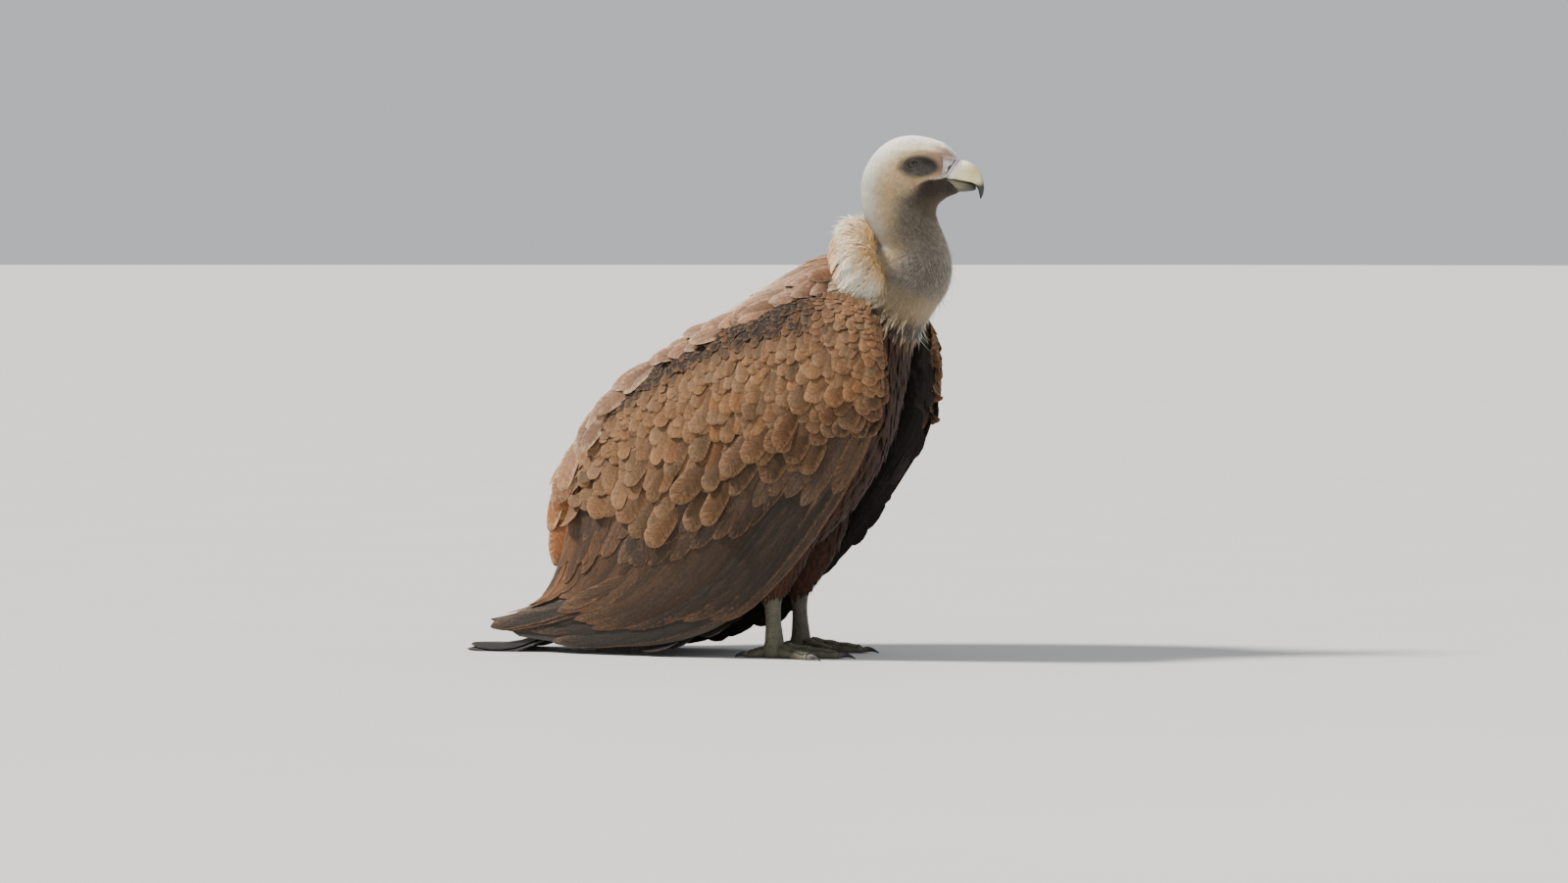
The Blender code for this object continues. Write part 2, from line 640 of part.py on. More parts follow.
def tarsus(word, side, parent):
    shares = np.linspace(0, 1, 7)
    top = mirrored(ANKLE, side) - np.array([0, 0, GAP])
    bottom = mirrored(FOOT_TOP, side) + np.array([0, 0, GAP])
    path = top + (bottom - top) * shares[:, None]
    radius = TARSUS_RADIUS * (TARSUS_JOINT - TARSUS_WAIST * np.sin(np.pi * shares) ** 0.7)
    angle = np.linspace(0, 2 * np.pi, 12, endpoint=False)
    rings = np.repeat(path[:, None], 12, axis=1)
    rings[..., 0] += (TARSUS_DEPTH * radius)[:, None] * np.cos(angle)
    rings[..., 1] += radius[:, None] * np.sin(angle)
    return piece(f"tarsus_{word}", rings, "leg_skin", parent)


def toe_path(side, bearing, length, radius, shares):
    """A toe lies on the floor: it leaves the foot high, arches and comes down to its pad."""
    start = mirrored(FOOT_TOP, side) * [1, 1, 0]
    heading = math.radians(bearing) * side
    ahead = np.array([math.cos(heading), math.sin(heading), 0.0])
    height = radius * (1.0 - TOE_SINK * shares) - FLOOR_BITE + TOE_RISE * (1 - shares) ** 2
    return start + ahead * (length * shares)[:, None] + np.array([0, 0, 1]) * height[:, None]


def foot(word, side, parent, floor):
    """Four toes and the stump that carries them, joined into one body with flat soles."""
    around = 10
    angle = np.linspace(0, 2 * np.pi, around, endpoint=False)
    heights, radii = np.array(FOOT_STUMP).T
    middle = mirrored(FOOT_TOP, side) * [1, 1, 0]
    rings = np.tile(middle, (len(heights), around, 1))
    rings[..., 0] += radii[:, None] * np.cos(angle)
    rings[..., 1] += radii[:, None] * np.sin(angle)
    rings[..., 2] += heights[:, None]
    made = piece(f"foot_{word}", rings, "leg_skin", parent)
    shares = np.linspace(0, 1, 6)
    for toe, (bearing, length, radius) in TOES.items():
        thickness = radius * (1 - (1 - TOE_TIP_SHARE) * shares)
        path = toe_path(side, bearing, length, radius, shares)
        rings = tube_rings(path, thickness, thickness * TOE_WIDTH, 8)
        combine(made, as_cutter(piece(f"toe_{word}_{toe}", rings, "leg_skin", parent)), "UNION")
    combine(made, floor, "DIFFERENCE")
    return made


def claw(word, toe, side, parent):
    """A blunt hooked cone that leaves the toe's end, arches and comes down to the floor."""
    bearing, length, radius = TOES[toe]
    end = toe_path(side, bearing, length, radius, np.array([0.98, 1.0]))
    ahead = (end[1] - end[0]) * [1, 1, 0]
    ahead /= np.linalg.norm(ahead)
    shares = np.linspace(0, 1, 5)
    reach = CLAW_LENGTH * (HIND_CLAW_SHARE if toe == "hind" else 1.0)
    thickness = CLAW_RADIUS * (1 - CLAW_THINNING * shares)
    height = end[1, 2] + CLAW_ARCH * np.sin(np.pi * shares) - (end[1, 2] - thickness[-1]) * shares ** 2
    path = end[1] * [1, 1, 0] + ahead * (reach * shares + 4 * GAP)[:, None]
    path[:, 2] = np.maximum(height, thickness + CLAW_ABOVE_FLOOR)
    rings = tube_rings(path, thickness, thickness * CLAW_WIDTH, 6)
    return piece(f"claw_{word}_{toe}", rings, "claw_black", parent)


# ---------------------------------------------------------------- assembly
def main():
    clear_scene()
    bird = bpy.data.objects.new("griffon_vulture", None)
    bpy.context.scene.collection.objects.link(bird)
    bird.location = FEET_AT
    floor = floor_cutter(bird)

    skull = head(bird)
    bill_half("bill_upper", UPPER_BILL_STATIONS, -1, "horn_cream", bird)
    bill_half("bill_lower", LOWER_BILL_STATIONS, 1, "horn_grey", bird)
    for word, side in (("right", -1), ("left", 1)):
        ball = eye(f"eye_{word}", side, bird)
        combine(skull, grown(ball), "DIFFERENCE")

    neck_rings = body_rings(HEAD_ENDS_AT, NECK_ENDS_AT, 1, 24, start_gap=GAP)
    neck = piece("neck", neck_rings, "down_grey", bird)
    crop_rings = body_rings(NECK_ENDS_AT, CROP_ENDS_AT, 2, 24, start_gap=GAP)
    crop = piece("crop", crop_rings, "down_grey", bird)
    trunk_rings = body_rings(CROP_ENDS_AT, "tail_base", 1, 28, start_gap=GAP)
    trunk = piece("trunk", trunk_rings, "breast_brown", bird)

    collar = ruff(bird)
    shield = mantle(bird)
    rump_feathers = tail(bird)
    core = [grown(part) for part in (neck, crop, trunk)]
    for room in core:
        combine(collar, room, "DIFFERENCE")
        combine(shield, room, "DIFFERENCE")
    combine(shield, grown(collar), "DIFFERENCE")
    combine(rump_feathers, core[2], "DIFFERENCE")
    combine(rump_feathers, floor, "DIFFERENCE")

    shield_room = grown(shield)
    for word, side in (("right", -1), ("left", 1)):
        leg = thigh(word, side, bird)
        combine(leg, core[2], "DIFFERENCE")
        for parcel in wing(word, side, bird):
            combine(parcel, core[2], "DIFFERENCE")
            combine(parcel, shield_room, "DIFFERENCE")
        tarsus(word, side, bird)
        foot(word, side, bird, floor)
        for toe in TOES:
            claw(word, toe, side, bird)


main()
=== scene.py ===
"""Griffon vulture, standing, life size: its skin, plumage, bill, eyes and feet, for a studio picture.

Metres, +Z up. The bird faces +X and its left side is +Y. Shapes are worked out about the point on
the floor midway between the feet, and FEET_AT moves them to the frame's origin. The head is worked
out looking straight ahead and turned last.

Every surface is a function of two parameters, a and b. a runs the way the feathers lie, and the
normal is the cross product of the step in b with the step in a.
"""
import math
from functools import partial

import bpy
import numpy as np
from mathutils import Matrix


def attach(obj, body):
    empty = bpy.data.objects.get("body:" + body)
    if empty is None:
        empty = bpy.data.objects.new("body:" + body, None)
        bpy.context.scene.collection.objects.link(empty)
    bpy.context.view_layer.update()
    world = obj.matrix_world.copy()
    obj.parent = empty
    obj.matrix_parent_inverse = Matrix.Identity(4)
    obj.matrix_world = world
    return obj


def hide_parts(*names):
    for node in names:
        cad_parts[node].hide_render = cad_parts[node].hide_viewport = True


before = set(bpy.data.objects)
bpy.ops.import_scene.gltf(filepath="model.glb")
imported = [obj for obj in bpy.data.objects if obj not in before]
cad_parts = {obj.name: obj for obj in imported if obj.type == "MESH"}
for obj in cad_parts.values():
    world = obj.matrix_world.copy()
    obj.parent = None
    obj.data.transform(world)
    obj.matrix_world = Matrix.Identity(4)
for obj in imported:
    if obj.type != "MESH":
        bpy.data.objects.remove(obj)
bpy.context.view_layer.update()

# ---------------------------------------------------------------- driving dimensions, in metres
FEET_AT = np.array([0.0997, 0.0, 0.0])      # the point midway between the feet, in the frame
GAP = 0.0003                # air between the face and the bill
HEAD_TURN = math.radians(17.0)      # to the bird's left, about an upright axis in the neck
TURN_AXIS_X = 0.147
TURN_FROM_Z = 0.47          # the turn begins at this height and is whole at the next
TURN_TO_Z = 0.61
FACE_X = 0.2085             # where the face ends and the bill begins
# The room for the bill's base, seen from the side, between forehead and chin: height at the face and
# fall for each metre forward, of its upper and its lower edge.
UNDER_FOREHEAD = (0.6602, 0.186)
OVER_CHIN = (0.6275, 1.037)

# Stations of the body, from bill to rump: back point (x, z), belly point (x, z) and half width.
BODY_STATIONS = {
    "forehead_tip": ((0.2205, 0.6592), (0.2228, 0.6128), 0.0125),
    "bill_base": ((0.2105, 0.6702), (0.2095, 0.6075), 0.0180),
    "lores": ((0.1995, 0.6787), (0.2055, 0.6050), 0.0228),
    "brow": ((0.182, 0.6853), (0.1995, 0.6005), 0.0290),
    "crown": ((0.160, 0.6872), (0.1955, 0.5955), 0.0345),
    "rear_crown": ((0.138, 0.6820), (0.1935, 0.5910), 0.0375),
    "occiput": ((0.119, 0.6690), (0.1925, 0.5870), 0.0390),
    "nape_top": ((0.105, 0.6500), (0.1925, 0.5835), 0.0395),
    "nape": ((0.0975, 0.6290), (0.1935, 0.5780), 0.0395),
    "neck_top": ((0.0970, 0.6050), (0.1965, 0.5710), 0.0395),
    "neck_high": ((0.1010, 0.5820), (0.2010, 0.5610), 0.0405),
    "neck_mid": ((0.1090, 0.5600), (0.2070, 0.5470), 0.0420),
    "neck_low": ((0.1160, 0.5450), (0.2120, 0.5290), 0.0460),
    "crop_top": ((0.1080, 0.5370), (0.2140, 0.5050), 0.0530),
    "crop": ((0.0940, 0.5300), (0.2060, 0.4800), 0.0660),
    "crop_foot": ((0.0700, 0.5200), (0.1860, 0.4560), 0.0880),
    "breast_top": ((0.0350, 0.5010), (0.1630, 0.4250), 0.1080),
    "breast": ((-0.0100, 0.4720), (0.1500, 0.3750), 0.1230),
    "breast_low": ((-0.0550, 0.4420), (0.1400, 0.3200), 0.1280),
    "flank": ((-0.1050, 0.4050), (0.1200, 0.2620), 0.1260),
    "belly": ((-0.1500, 0.3650), (0.0850, 0.2050), 0.1180),
    "belly_low": ((-0.1850, 0.3180), (0.0400, 0.1580), 0.1030),
    "vent": ((-0.2000, 0.2650), (-0.0100, 0.1260), 0.0840),
    "rump": ((-0.2020, 0.2140), (-0.0650, 0.1070), 0.0620),
    "tail_base": ((-0.1950, 0.1740), (-0.1080, 0.1000), 0.0440),
}
BODY_NAMES = list(BODY_STATIONS)
AHEAD = BODY_NAMES.index("bill_base")       # stations are counted from the base of the bill
NAPE = BODY_NAMES.index("nape") - AHEAD
NECK_LOW = BODY_NAMES.index("neck_low") - AHEAD
CROP_FOOT = BODY_NAMES.index("crop_foot") - AHEAD
TAIL_BASE = BODY_NAMES.index("tail_base") - AHEAD

EYE = np.array([0.1622, 0.0235, 0.6508])
EYE_RADIUS = 0.0098
LID_LONG = 0.0074           # half the length of the opening between the lids
UPPER_LID = 0.0044          # and how far it reaches above and below the eye's middle
LOWER_LID = 0.0056
LID_SLANT = 0.12            # rise of the opening towards the bill, for each metre forward
EYE_STATION = 3.7           # where the eye lies on the body's loft, and how far round from the back
EYE_LEAN = 1.294
FACE_PATCH = (0.1718, 0.6472, 0.0262, 0.0140)   # dark bare skin round the eye: middle x, z and reach

# Edges of the folded wing seen from the side, (x, z), each from the shoulder or the front onwards.
WING_FRONT = (
    (0.156, 0.405), (0.157, 0.350), (0.141, 0.296), (0.112, 0.240), (0.060, 0.165), (0.000, 0.098),
    (-0.060, 0.048), (-0.135, 0.020), (-0.225, 0.011), (-0.310, 0.015), (-0.385, 0.022),
)
WING_TOP = (
    (0.156, 0.405), (0.150, 0.437), (0.126, 0.464), (0.087, 0.4745), (0.040, 0.470), (-0.035, 0.446),
    (-0.090, 0.420), (-0.150, 0.388), (-0.207, 0.347), (-0.250, 0.295),
)
WING_REAR = (
    (-0.250, 0.295), (-0.270, 0.238), (-0.286, 0.181), (-0.301, 0.130), (-0.322, 0.086),
    (-0.362, 0.056), (-0.425, 0.040),
)
# From shoulder to tip: how far out the front and rear edges lie, the bulge between them, thickness.
WING_FRONT_OUT = (0.121, 0.131, 0.129, 0.121, 0.111, 0.102, 0.089, 0.071, 0.046)
WING_REAR_OUT = (0.086, 0.084, 0.080, 0.074, 0.066, 0.057, 0.047, 0.038, 0.028)
WING_BULGE = (0.012, 0.030, 0.037, 0.038, 0.036, 0.030, 0.022, 0.012, 0.0)
WING_THICKNESS = (0.052, 0.050, 0.040, 0.028, 0.018, 0.012, 0.008, 0.006, 0.0045)
WING_EDGE = 0.0022          # thickness at the edges
WING_OUTER_SHARE = 0.40     # share of the thickness that lies outside the middle surface
TOP_ROUNDING = 0.10         # shares of the wing over which it thins towards each edge
FRONT_ROUNDING = 0.13
REAR_ROUNDING = 0.40
NORMALS_ALONG = (0.08, 0.94)        # nearer to the edges than this the normals stay the same
NORMALS_ACROSS = (0.10, 0.90)
# Where the greater coverts end, at equal steps from the wing's front edge to its rear edge.
COVERT_LINE = (0.19, 0.285, 0.385, 0.46, 0.46, 0.41, 0.34)

# Ridge (x, z), half width, and how far the sides drop, from the ruff to the rear end.
MANTLE_STATIONS = (
    ((0.068, 0.5360), 0.072, 0.040),
    ((0.030, 0.5240), 0.098, 0.050),
    ((-0.042, 0.4800), 0.113, 0.037),
    ((-0.135, 0.4240), 0.112, 0.027),
    ((-0.185, 0.3900), 0.106, 0.025),
    ((-0.234, 0.3510), 0.097, 0.026),
    ((-0.277, 0.3070), 0.087, 0.028),
    ((-0.306, 0.2570), 0.077, 0.028),
    ((-0.322, 0.2160), 0.066, 0.026),
    ((-0.326, 0.1800), 0.050, 0.020),
)

RUFF_SWEEP = math.radians(124.0)    # bearing of the collar's front ends, counted from behind
RUFF_BACK = np.array([0.088, 0.541])        # (x, z) of its middle line behind and at its ends
RUFF_FRONT = np.array([0.134, 0.464])
RUFF_OUT = 0.080            # half width of the collar
RUFF_TALL = 0.035           # half axes of its tube
RUFF_THICK = 0.028
RUFF_TAPER = 0.55           # share by which the tube thins towards its ends
RUFF_DRAW_IN = 0.10         # share by which the ends are drawn together

# Middle of the upper face (x, z), half width and thickness, from the rump to the tip.
TAIL_STATIONS = (
    ((-0.165, 0.1420), 0.034, 0.034),
    ((-0.205, 0.1080), 0.042, 0.022),
    ((-0.255, 0.0720), 0.048, 0.012),
    ((-0.310, 0.0400), 0.054, 0.008),
    ((-0.360, 0.0170), 0.060, 0.0070),
    ((-0.400, 0.0065), 0.064, 0.0068),
    ((-0.432, 0.0052), 0.058, 0.0062),
    ((-0.452, 0.0046), 0.038, 0.0052),
)
TAIL_ARCH = 0.010           # how far the sides lie under the middle
TAIL_EDGE_SHARE = 0.25      # the sides' share of the thickness

# Middle, half depth and half width, from hip to ankle.
THIGH_STATIONS = (
    ((-0.005, 0.062, 0.232), 0.040, 0.034),
    ((0.004, 0.068, 0.185), 0.050, 0.039),
    ((-0.002, 0.067, 0.138), 0.042, 0.033),
    ((-0.009, 0.063, 0.102), 0.028, 0.023),
    ((-0.0115, 0.061, 0.080), 0.016, 0.014),
)
ANKLE = np.array([-0.0115, 0.061, 0.080])
FOOT_TOP = np.array([-0.0085, 0.060, 0.024])
TARSUS_RADIUS = 0.0112
TARSUS_JOINT = 1.12
TARSUS_WAIST = 0.30
TARSUS_DEPTH = 1.12
# Height and radius, from the shank to the sole.
FOOT_STUMP = ((0.0240, 0.0112), (0.0180, 0.0122), (0.0120, 0.0138), (0.0050, 0.0142), (0.0004, 0.0126))
# Bearing in degrees, outwards from straight ahead, length and radius at the root.
TOES = {
    "inner": (-34.0, 0.064, 0.0098),
    "middle": (-2.0, 0.088, 0.0102),
    "outer": (30.0, 0.066, 0.0092),
    "hind": (172.0, 0.036, 0.0090),
}
TOE_TIP_SHARE = 0.62
TOE_SINK = 0.42
TOE_RISE = 0.004
TOE_WIDTH = 0.92
FLOOR_BITE = 0.0022
CLAW_LENGTH = 0.021
HIND_CLAW_SHARE = 0.75
CLAW_RADIUS = 0.0050
CLAW_THINNING = 0.85
CLAW_WIDTH = 0.85
CLAW_ARCH = 0.0022
CLAW_ABOVE_FLOOR = 0.0002

FLAT_POWER = 0.4            # squares the bill's ovals off where its two halves meet
# Upper edge (x, z), lower edge (x, z) and half width, from the face to the tip.
UPPER_BILL_STATIONS = (
    ((FACE_X + GAP, 0.6595), (FACE_X + GAP, 0.6300), 0.0140),
    ((0.2180, 0.6580), (0.2180, 0.6290), 0.0138),
    ((0.2260, 0.6562), (0.2262, 0.6275), 0.0132),
    ((0.2340, 0.6548), (0.2335, 0.6262), 0.0126),
    ((0.2415, 0.6515), (0.2395, 0.6252), 0.0116),
    ((0.2480, 0.6455), (0.2430, 0.6240), 0.0102),
    ((0.2528, 0.6375), (0.2458, 0.6220), 0.0084),
    ((0.2560, 0.6290), (0.2482, 0.6185), 0.0064),
    ((0.2572, 0.6205), (0.2497, 0.6145), 0.0046),
    ((0.2562, 0.6120), (0.2507, 0.6100), 0.0028),
    ((0.2532, 0.6045), (0.2517, 0.6055), 0.0011),
)
LOWER_BILL_STATIONS = (
    ((FACE_X + GAP, 0.6292), (FACE_X + GAP, 0.6276), 0.0110),
    ((0.2150, 0.6287), (0.2150, 0.6213), 0.0113),
    ((0.2205, 0.6281), (0.2215, 0.6146), 0.0110),
    ((0.2300, 0.6262), (0.2310, 0.6138), 0.0098),
    ((0.2380, 0.6246), (0.2385, 0.6146), 0.0078),
    ((0.2435, 0.6226), (0.2440, 0.6156), 0.0050),
    ((0.2462, 0.6200), (0.2464, 0.6172), 0.0022),
)
CERE_EDGE = np.array([0.2092, 0.6345])      # the cere ends along a line up and forward from here
CERE_WAY = np.array([0.560, 0.8285])
NOSTRIL = np.array([0.2104, 0.6462])
# The wrinkle that runs back from the corner of the bill, (x, z).
GAPE = (
    (0.2120, 0.6350), (0.1932, 0.6324), (0.1806, 0.6312), (0.1740, 0.6282), (0.1670, 0.6250),
    (0.1610, 0.6205),
)
# the dark line of the mouth is a painted shadow line
MOUTH_BELOW = 0.0019        # how far under it the dark line of the mouth runs

PATCH = 0.003               # size of one feather's patch on the bake map
WHOLE_MAP = (0.01, 0.01, 0.99, 0.99)        # the bake map's rectangle: left, low, right, high
STEP = 0.001                # step in a or b by which slopes are measured
ABOVE_FLOOR = 0.0003        # no point of the skin, bill or claws lies lower
FEATHER_FLOOR = 0.0004      # and no point of a feather lower than this
ROOT_STEPS = np.array([0.7548776662466927, 0.5698402909980532])     # of the R2 sequence

WORDS = {-1: "right", 1: "left"}

# ---------------------------------------------------------------- colours, linear
WHITE = np.array([0.97, 0.93, 0.82])
BUFF = np.array([0.80, 0.60, 0.33])
PINK = np.array([0.66, 0.44, 0.34])
PATCH_GREY = np.array([0.120, 0.105, 0.092])
PATCH_DARK = np.array([0.046, 0.034, 0.033])
LID_GREY = np.array([0.165, 0.150, 0.130])
JAW_BROWN = np.array([0.074, 0.048, 0.033])
# throat brown, partly its own colour and partly painted shade under the chin
THROAT_BROWN_IN_SHADE = np.array([0.155, 0.118, 0.078])
NECK_GREY = np.array([0.34, 0.285, 0.22])
CROP_GREY = np.array([0.26, 0.215, 0.175])
CROP_BEIGE = np.array([0.50, 0.385, 0.245])
# breast brown and belly rust: the rufous plumage, darkened with painted shade
BREAST_BROWN_IN_SHADE = np.array([0.030, 0.013, 0.008])
BELLY_RUST_IN_SHADE = np.array([0.046, 0.019, 0.011])
RUFF_CREAM = np.array([0.95, 0.89, 0.76])
RUFF_TAWNY = np.array([0.78, 0.50, 0.20])
MANTLE_PALE = np.array([0.60, 0.455, 0.31])
MANTLE_BROWN = np.array([0.21, 0.112, 0.066])
MANTLE_RUST = np.array([0.26, 0.100, 0.032])
COVERT_TAN = np.array([0.205, 0.108, 0.051])
COVERT_DARK = np.array([0.085, 0.047, 0.027])
QUILL_BROWN = np.array([0.036, 0.024, 0.017])
QUILL_RUST = np.array([0.120, 0.055, 0.024])
# the wing lining's near black is painted shade on the face towards the body
LINING_PAINTED_SHADE = np.array([0.008, 0.006, 0.005])
NEAR_BLACK = np.array([0.018, 0.015, 0.013])
LEG_OLIVE = np.array([0.082, 0.076, 0.050])
# pale horn at the bill's base, whitened further as a painted sheen
HORN_WHITE_AND_SHEEN = np.array([0.90, 0.88, 0.80])
HORN_CREAM = np.array([0.84, 0.78, 0.50])
HORN_YELLOW = np.array([0.78, 0.70, 0.28])
HORN_GREY = np.array([0.22, 0.22, 0.20])
HORN_DARK = np.array([0.026, 0.024, 0.022])
CERE_LILAC = np.array([0.50, 0.44, 0.50])
CERE_PALE = np.array([0.92, 0.88, 0.87])
LOWER_OLIVE = np.array([0.066, 0.066, 0.048])
IRIS_BROWN = np.array([0.046, 0.037, 0.026])
IRIS_RIM = np.array([0.026, 0.020, 0.015])
PUPIL_BLACK = np.array([0.004, 0.004, 0.004])
LIMBUS_DARK = np.array([0.02, 0.015, 0.012])
EYE_GREY = np.array([0.050, 0.042, 0.038])
CLAW_ROOT = np.array([0.11, 0.10, 0.085])

# ---------------------------------------------------------------- curves
def smooth(points, shares):
    """A smooth curve through points spaced evenly from 0 to 1, read at the given shares.

    Between two points it is the Catmull-Rom cubic, and beyond the ends it runs on straight.
    """
    points = np.asarray(points, float)
    shares = np.asarray(shares, float)
    last = len(points) - 1
    place = np.clip(shares, 0.0, 1.0) * last
    start = np.minimum(place.astype(int), last - 1)
    part = place - start
    beyond = (shares - np.clip(shares, 0.0, 1.0)) * last
    if points.ndim > 1:
        part = part[..., None]
        beyond = beyond[..., None]
    here = points[start]
    after = points[start + 1]
    slope_here = (after - points[np.maximum(start - 1, 0)]) / 2
    slope_after = (points[np.minimum(start + 2, last)] - here) / 2
    return (
        here * (1 + 2 * part) * (1 - part) ** 2
        + slope_here * part * (1 - part) ** 2
        + after * part ** 2 * (3 - 2 * part)
        + slope_after * part ** 2 * (part - 1)
        + (after - here) * beyond
    )


def read_stations(stations, shares):
    """Each column of a table of stations as a smooth curve, read at the given shares."""
    return [smooth(column, shares) for column in zip(*stations)]


def ramp(low, high, value):
    """Rise from 0 at low to 1 at high, level at both ends. Where low is over high it falls."""
    share = np.clip((np.asarray(value) - low) / (high - low), 0.0, 1.0)
    return share * share * (3 - 2 * share)


def hump(value, width):
    """A bell: exp of minus the square of value over width."""
    return np.exp(-(np.asarray(value) / width) ** 2)


def blend(first, second, share):
    """The colour that is share of the way from first to second."""
    share = np.asarray(share)[..., None]
    return first * (1 - share) + second * share


def turns(count):
    """Angles evenly round a full turn."""
    return np.linspace(0, 2 * np.pi, count, endpoint=False)


def turn_head(points):
    """Turn points about the neck's upright axis, more the higher they are."""
    angle = HEAD_TURN * ramp(TURN_FROM_Z, TURN_TO_Z, points[..., 2])
    from_axis = points[..., 0] - TURN_AXIS_X
    turned = points.copy()
    turned[..., 0] = TURN_AXIS_X + from_axis * np.cos(angle) - points[..., 1] * np.sin(angle)
    turned[..., 1] = from_axis * np.sin(angle) + points[..., 1] * np.cos(angle)
    return turned


def frame_at(surface, a, b):
    """Points, unit normals and the two steps of a surface, by central differences."""
    by_a = (surface(a + STEP, b) - surface(a - STEP, b)) / (2 * STEP)
    by_b = (surface(a, b + STEP) - surface(a, b - STEP)) / (2 * STEP)
    normal = np.cross(by_b, by_a)
    normal /= np.maximum(np.linalg.norm(normal, axis=-1), 1e-12)[..., None]
    return surface(a, b), normal, by_a, by_b


# ---------------------------------------------------------------- surfaces of the bird
def gape_distance(x, z):
    """How far (x, z) lies from the wrinkle that runs back from the corner of the bill."""
    nearest = np.full(np.shape(x), 1.0)
    for start, end in zip(GAPE[:-1], GAPE[1:]):
        run = np.subtract(end, start)
        share = ((x - start[0]) * run[0] + (z - start[1]) * run[1]) / (run @ run)
        share = np.clip(share, 0, 1)
        away = np.hypot(x - start[0] - run[0] * share, z - start[1] - run[1] * share)
        nearest = np.minimum(nearest, away)
    return nearest


def under_gape(x, z):
    """How far below the line of the mouth (x, z) lies."""
    places = np.array(GAPE[::-1])
    return np.interp(x, places[:, 0], places[:, 1]) - MOUTH_BELOW - z


def in_bill_room(x, z):
    """1 where (x, z) lies in the room of the bill's base, before the face, under forehead, over chin."""
    ceiling = UNDER_FOREHEAD[0] - UNDER_FOREHEAD[1] * (x - FACE_X)
    ground = OVER_CHIN[0] - OVER_CHIN[1] * (x - FACE_X)
    between = ramp(-0.0010, 0.0010, ceiling - z) * ramp(-0.0010, 0.0010, z - ground)
    return ramp(0.2018, 0.2038, x) * between


def face_patch(x, z):
    """1 inside the dark oval round the eye, falling to 0 across its edge."""
    middle_x, middle_z, reach_x, reach_z = FACE_PATCH
    oval = np.hypot((x - middle_x) / reach_x, (z - middle_z) / reach_z)
    return ramp(1.22, 0.74, oval)


def head_relief(flat):
    """Height of the head's folds: brow up, hollow round the eye, wrinkle along the gape, cheek."""
    x, side, z = flat[..., 0], np.abs(flat[..., 1]), flat[..., 2]
    on_side = ramp(0.010, 0.022, side)
    brow = 0.0024 * hump(z - 0.6655 + 0.10 * (x - 0.185), 0.0048) * hump(x - 0.182, 0.026)
    hollow = -0.0036 * face_patch(x, z)
    crimp = 1 + 0.35 * np.sin(x * 1500) * np.sin(z * 900 + x * 700)
    gape = 0.0016 * crimp * hump(gape_distance(x, z), 0.0013)
    gape = (gape - 0.0012 * hump(gape_distance(x, z + MOUTH_BELOW), 0.0009)) * ramp(0.2075, 0.2010, x)
    cheek = 0.0016 * hump(x - 0.150, 0.020) * hump(z - 0.628, 0.016)
    return on_side * (brow + hollow + gape + cheek)


def body_flat(a, b):
    """The body with its head straight: an oval round each station's middle. b turns from back to left."""
    shares = (np.asarray(a, float) + AHEAD) / (len(BODY_NAMES) - 1)
    top, bottom, half = read_stations(BODY_STATIONS.values(), shares)
    middle = (top + bottom) / 2
    reach = (top - bottom) / 2 * np.cos(b)[..., None]
    from_middle = np.stack([reach[..., 0], half * np.sin(b), reach[..., 1]], -1)
    flat = from_middle + np.stack([middle[..., 0], 0 * half, middle[..., 1]], -1)
    away = np.linalg.norm(from_middle, axis=-1)
    return flat + from_middle * (head_relief(flat) / np.maximum(away, 1e-4))[..., None]


def body(a, b):
    """The body loft as it stands, with the head turned."""
    return turn_head(body_flat(a, b))


def wing_side_view(along, across):
    """(x, z) of the folded wing: a Coons patch between its front, top and rear edges."""
    front = smooth(WING_FRONT, along)
    rear = smooth(WING_REAR, along)
    top = smooth(WING_TOP, across)
    tips = smooth((WING_FRONT[-1], WING_REAR[-1]), across)
    s = along[..., None]
    t = across[..., None]
    corners = (
        (1 - s) * (1 - t) * np.array(WING_FRONT[0]) + (1 - s) * t * np.array(WING_REAR[0])
        + s * (1 - t) * np.array(WING_FRONT[-1]) + s * t * np.array(WING_REAR[-1])
    )
    return (1 - t) * front + t * rear + (1 - s) * top + s * tips - corners


def wing_middle(along, across):
    """Points midway through the right wing: the side view, bulging away from the body."""
    flat = wing_side_view(along, across)
    out = (
        (1 - across) * smooth(WING_FRONT_OUT, along) + across * smooth(WING_REAR_OUT, along)
        + smooth(WING_BULGE, along) * np.sin(np.pi * np.clip(across, 0, 1))
    )
    return np.stack([flat[..., 0], -out, flat[..., 1]], axis=-1)


def wing_normals(along, across):
    """Unit normals of the right wing's middle surface, away from the body."""
    return frame_at(wing_middle, along, across)[1]


def rounding(share):
    """A quarter circle: 0 at the edge, 1 where share reaches 1 and beyond."""
    return np.sqrt(1 - (1 - np.clip(share, 0, 1)) ** 2)


def wing_thickness(along, across):
    """Thickest at the arm, thinning to the feathers' edges."""
    edges = (
        rounding(along / TOP_ROUNDING) * rounding(across / FRONT_ROUNDING)
        * rounding((1 - across) / REAR_ROUNDING)
    )
    return WING_EDGE + (smooth(WING_THICKNESS, along) - WING_EDGE) * edges


def wing_offset(along, across, share):
    """The middle surface moved by share of the thickness along its normal."""
    through = wing_normals(np.clip(along, *NORMALS_ALONG), np.clip(across, *NORMALS_ACROSS))
    return wing_middle(along, across) + through * (share * wing_thickness(along, across))[..., None]


def wing_outer(a, b):
    """Outer face of the right wing: a from shoulder to tip, b from front edge to rear edge."""
    return wing_offset(np.asarray(a, float), np.asarray(b, float), WING_OUTER_SHARE)


def wing_inner(a, b):
    """Face of the right wing towards the body. b runs from 0 at the front to -1 at the rear."""
    return wing_offset(np.asarray(a, float), -np.asarray(b, float), WING_OUTER_SHARE - 1)


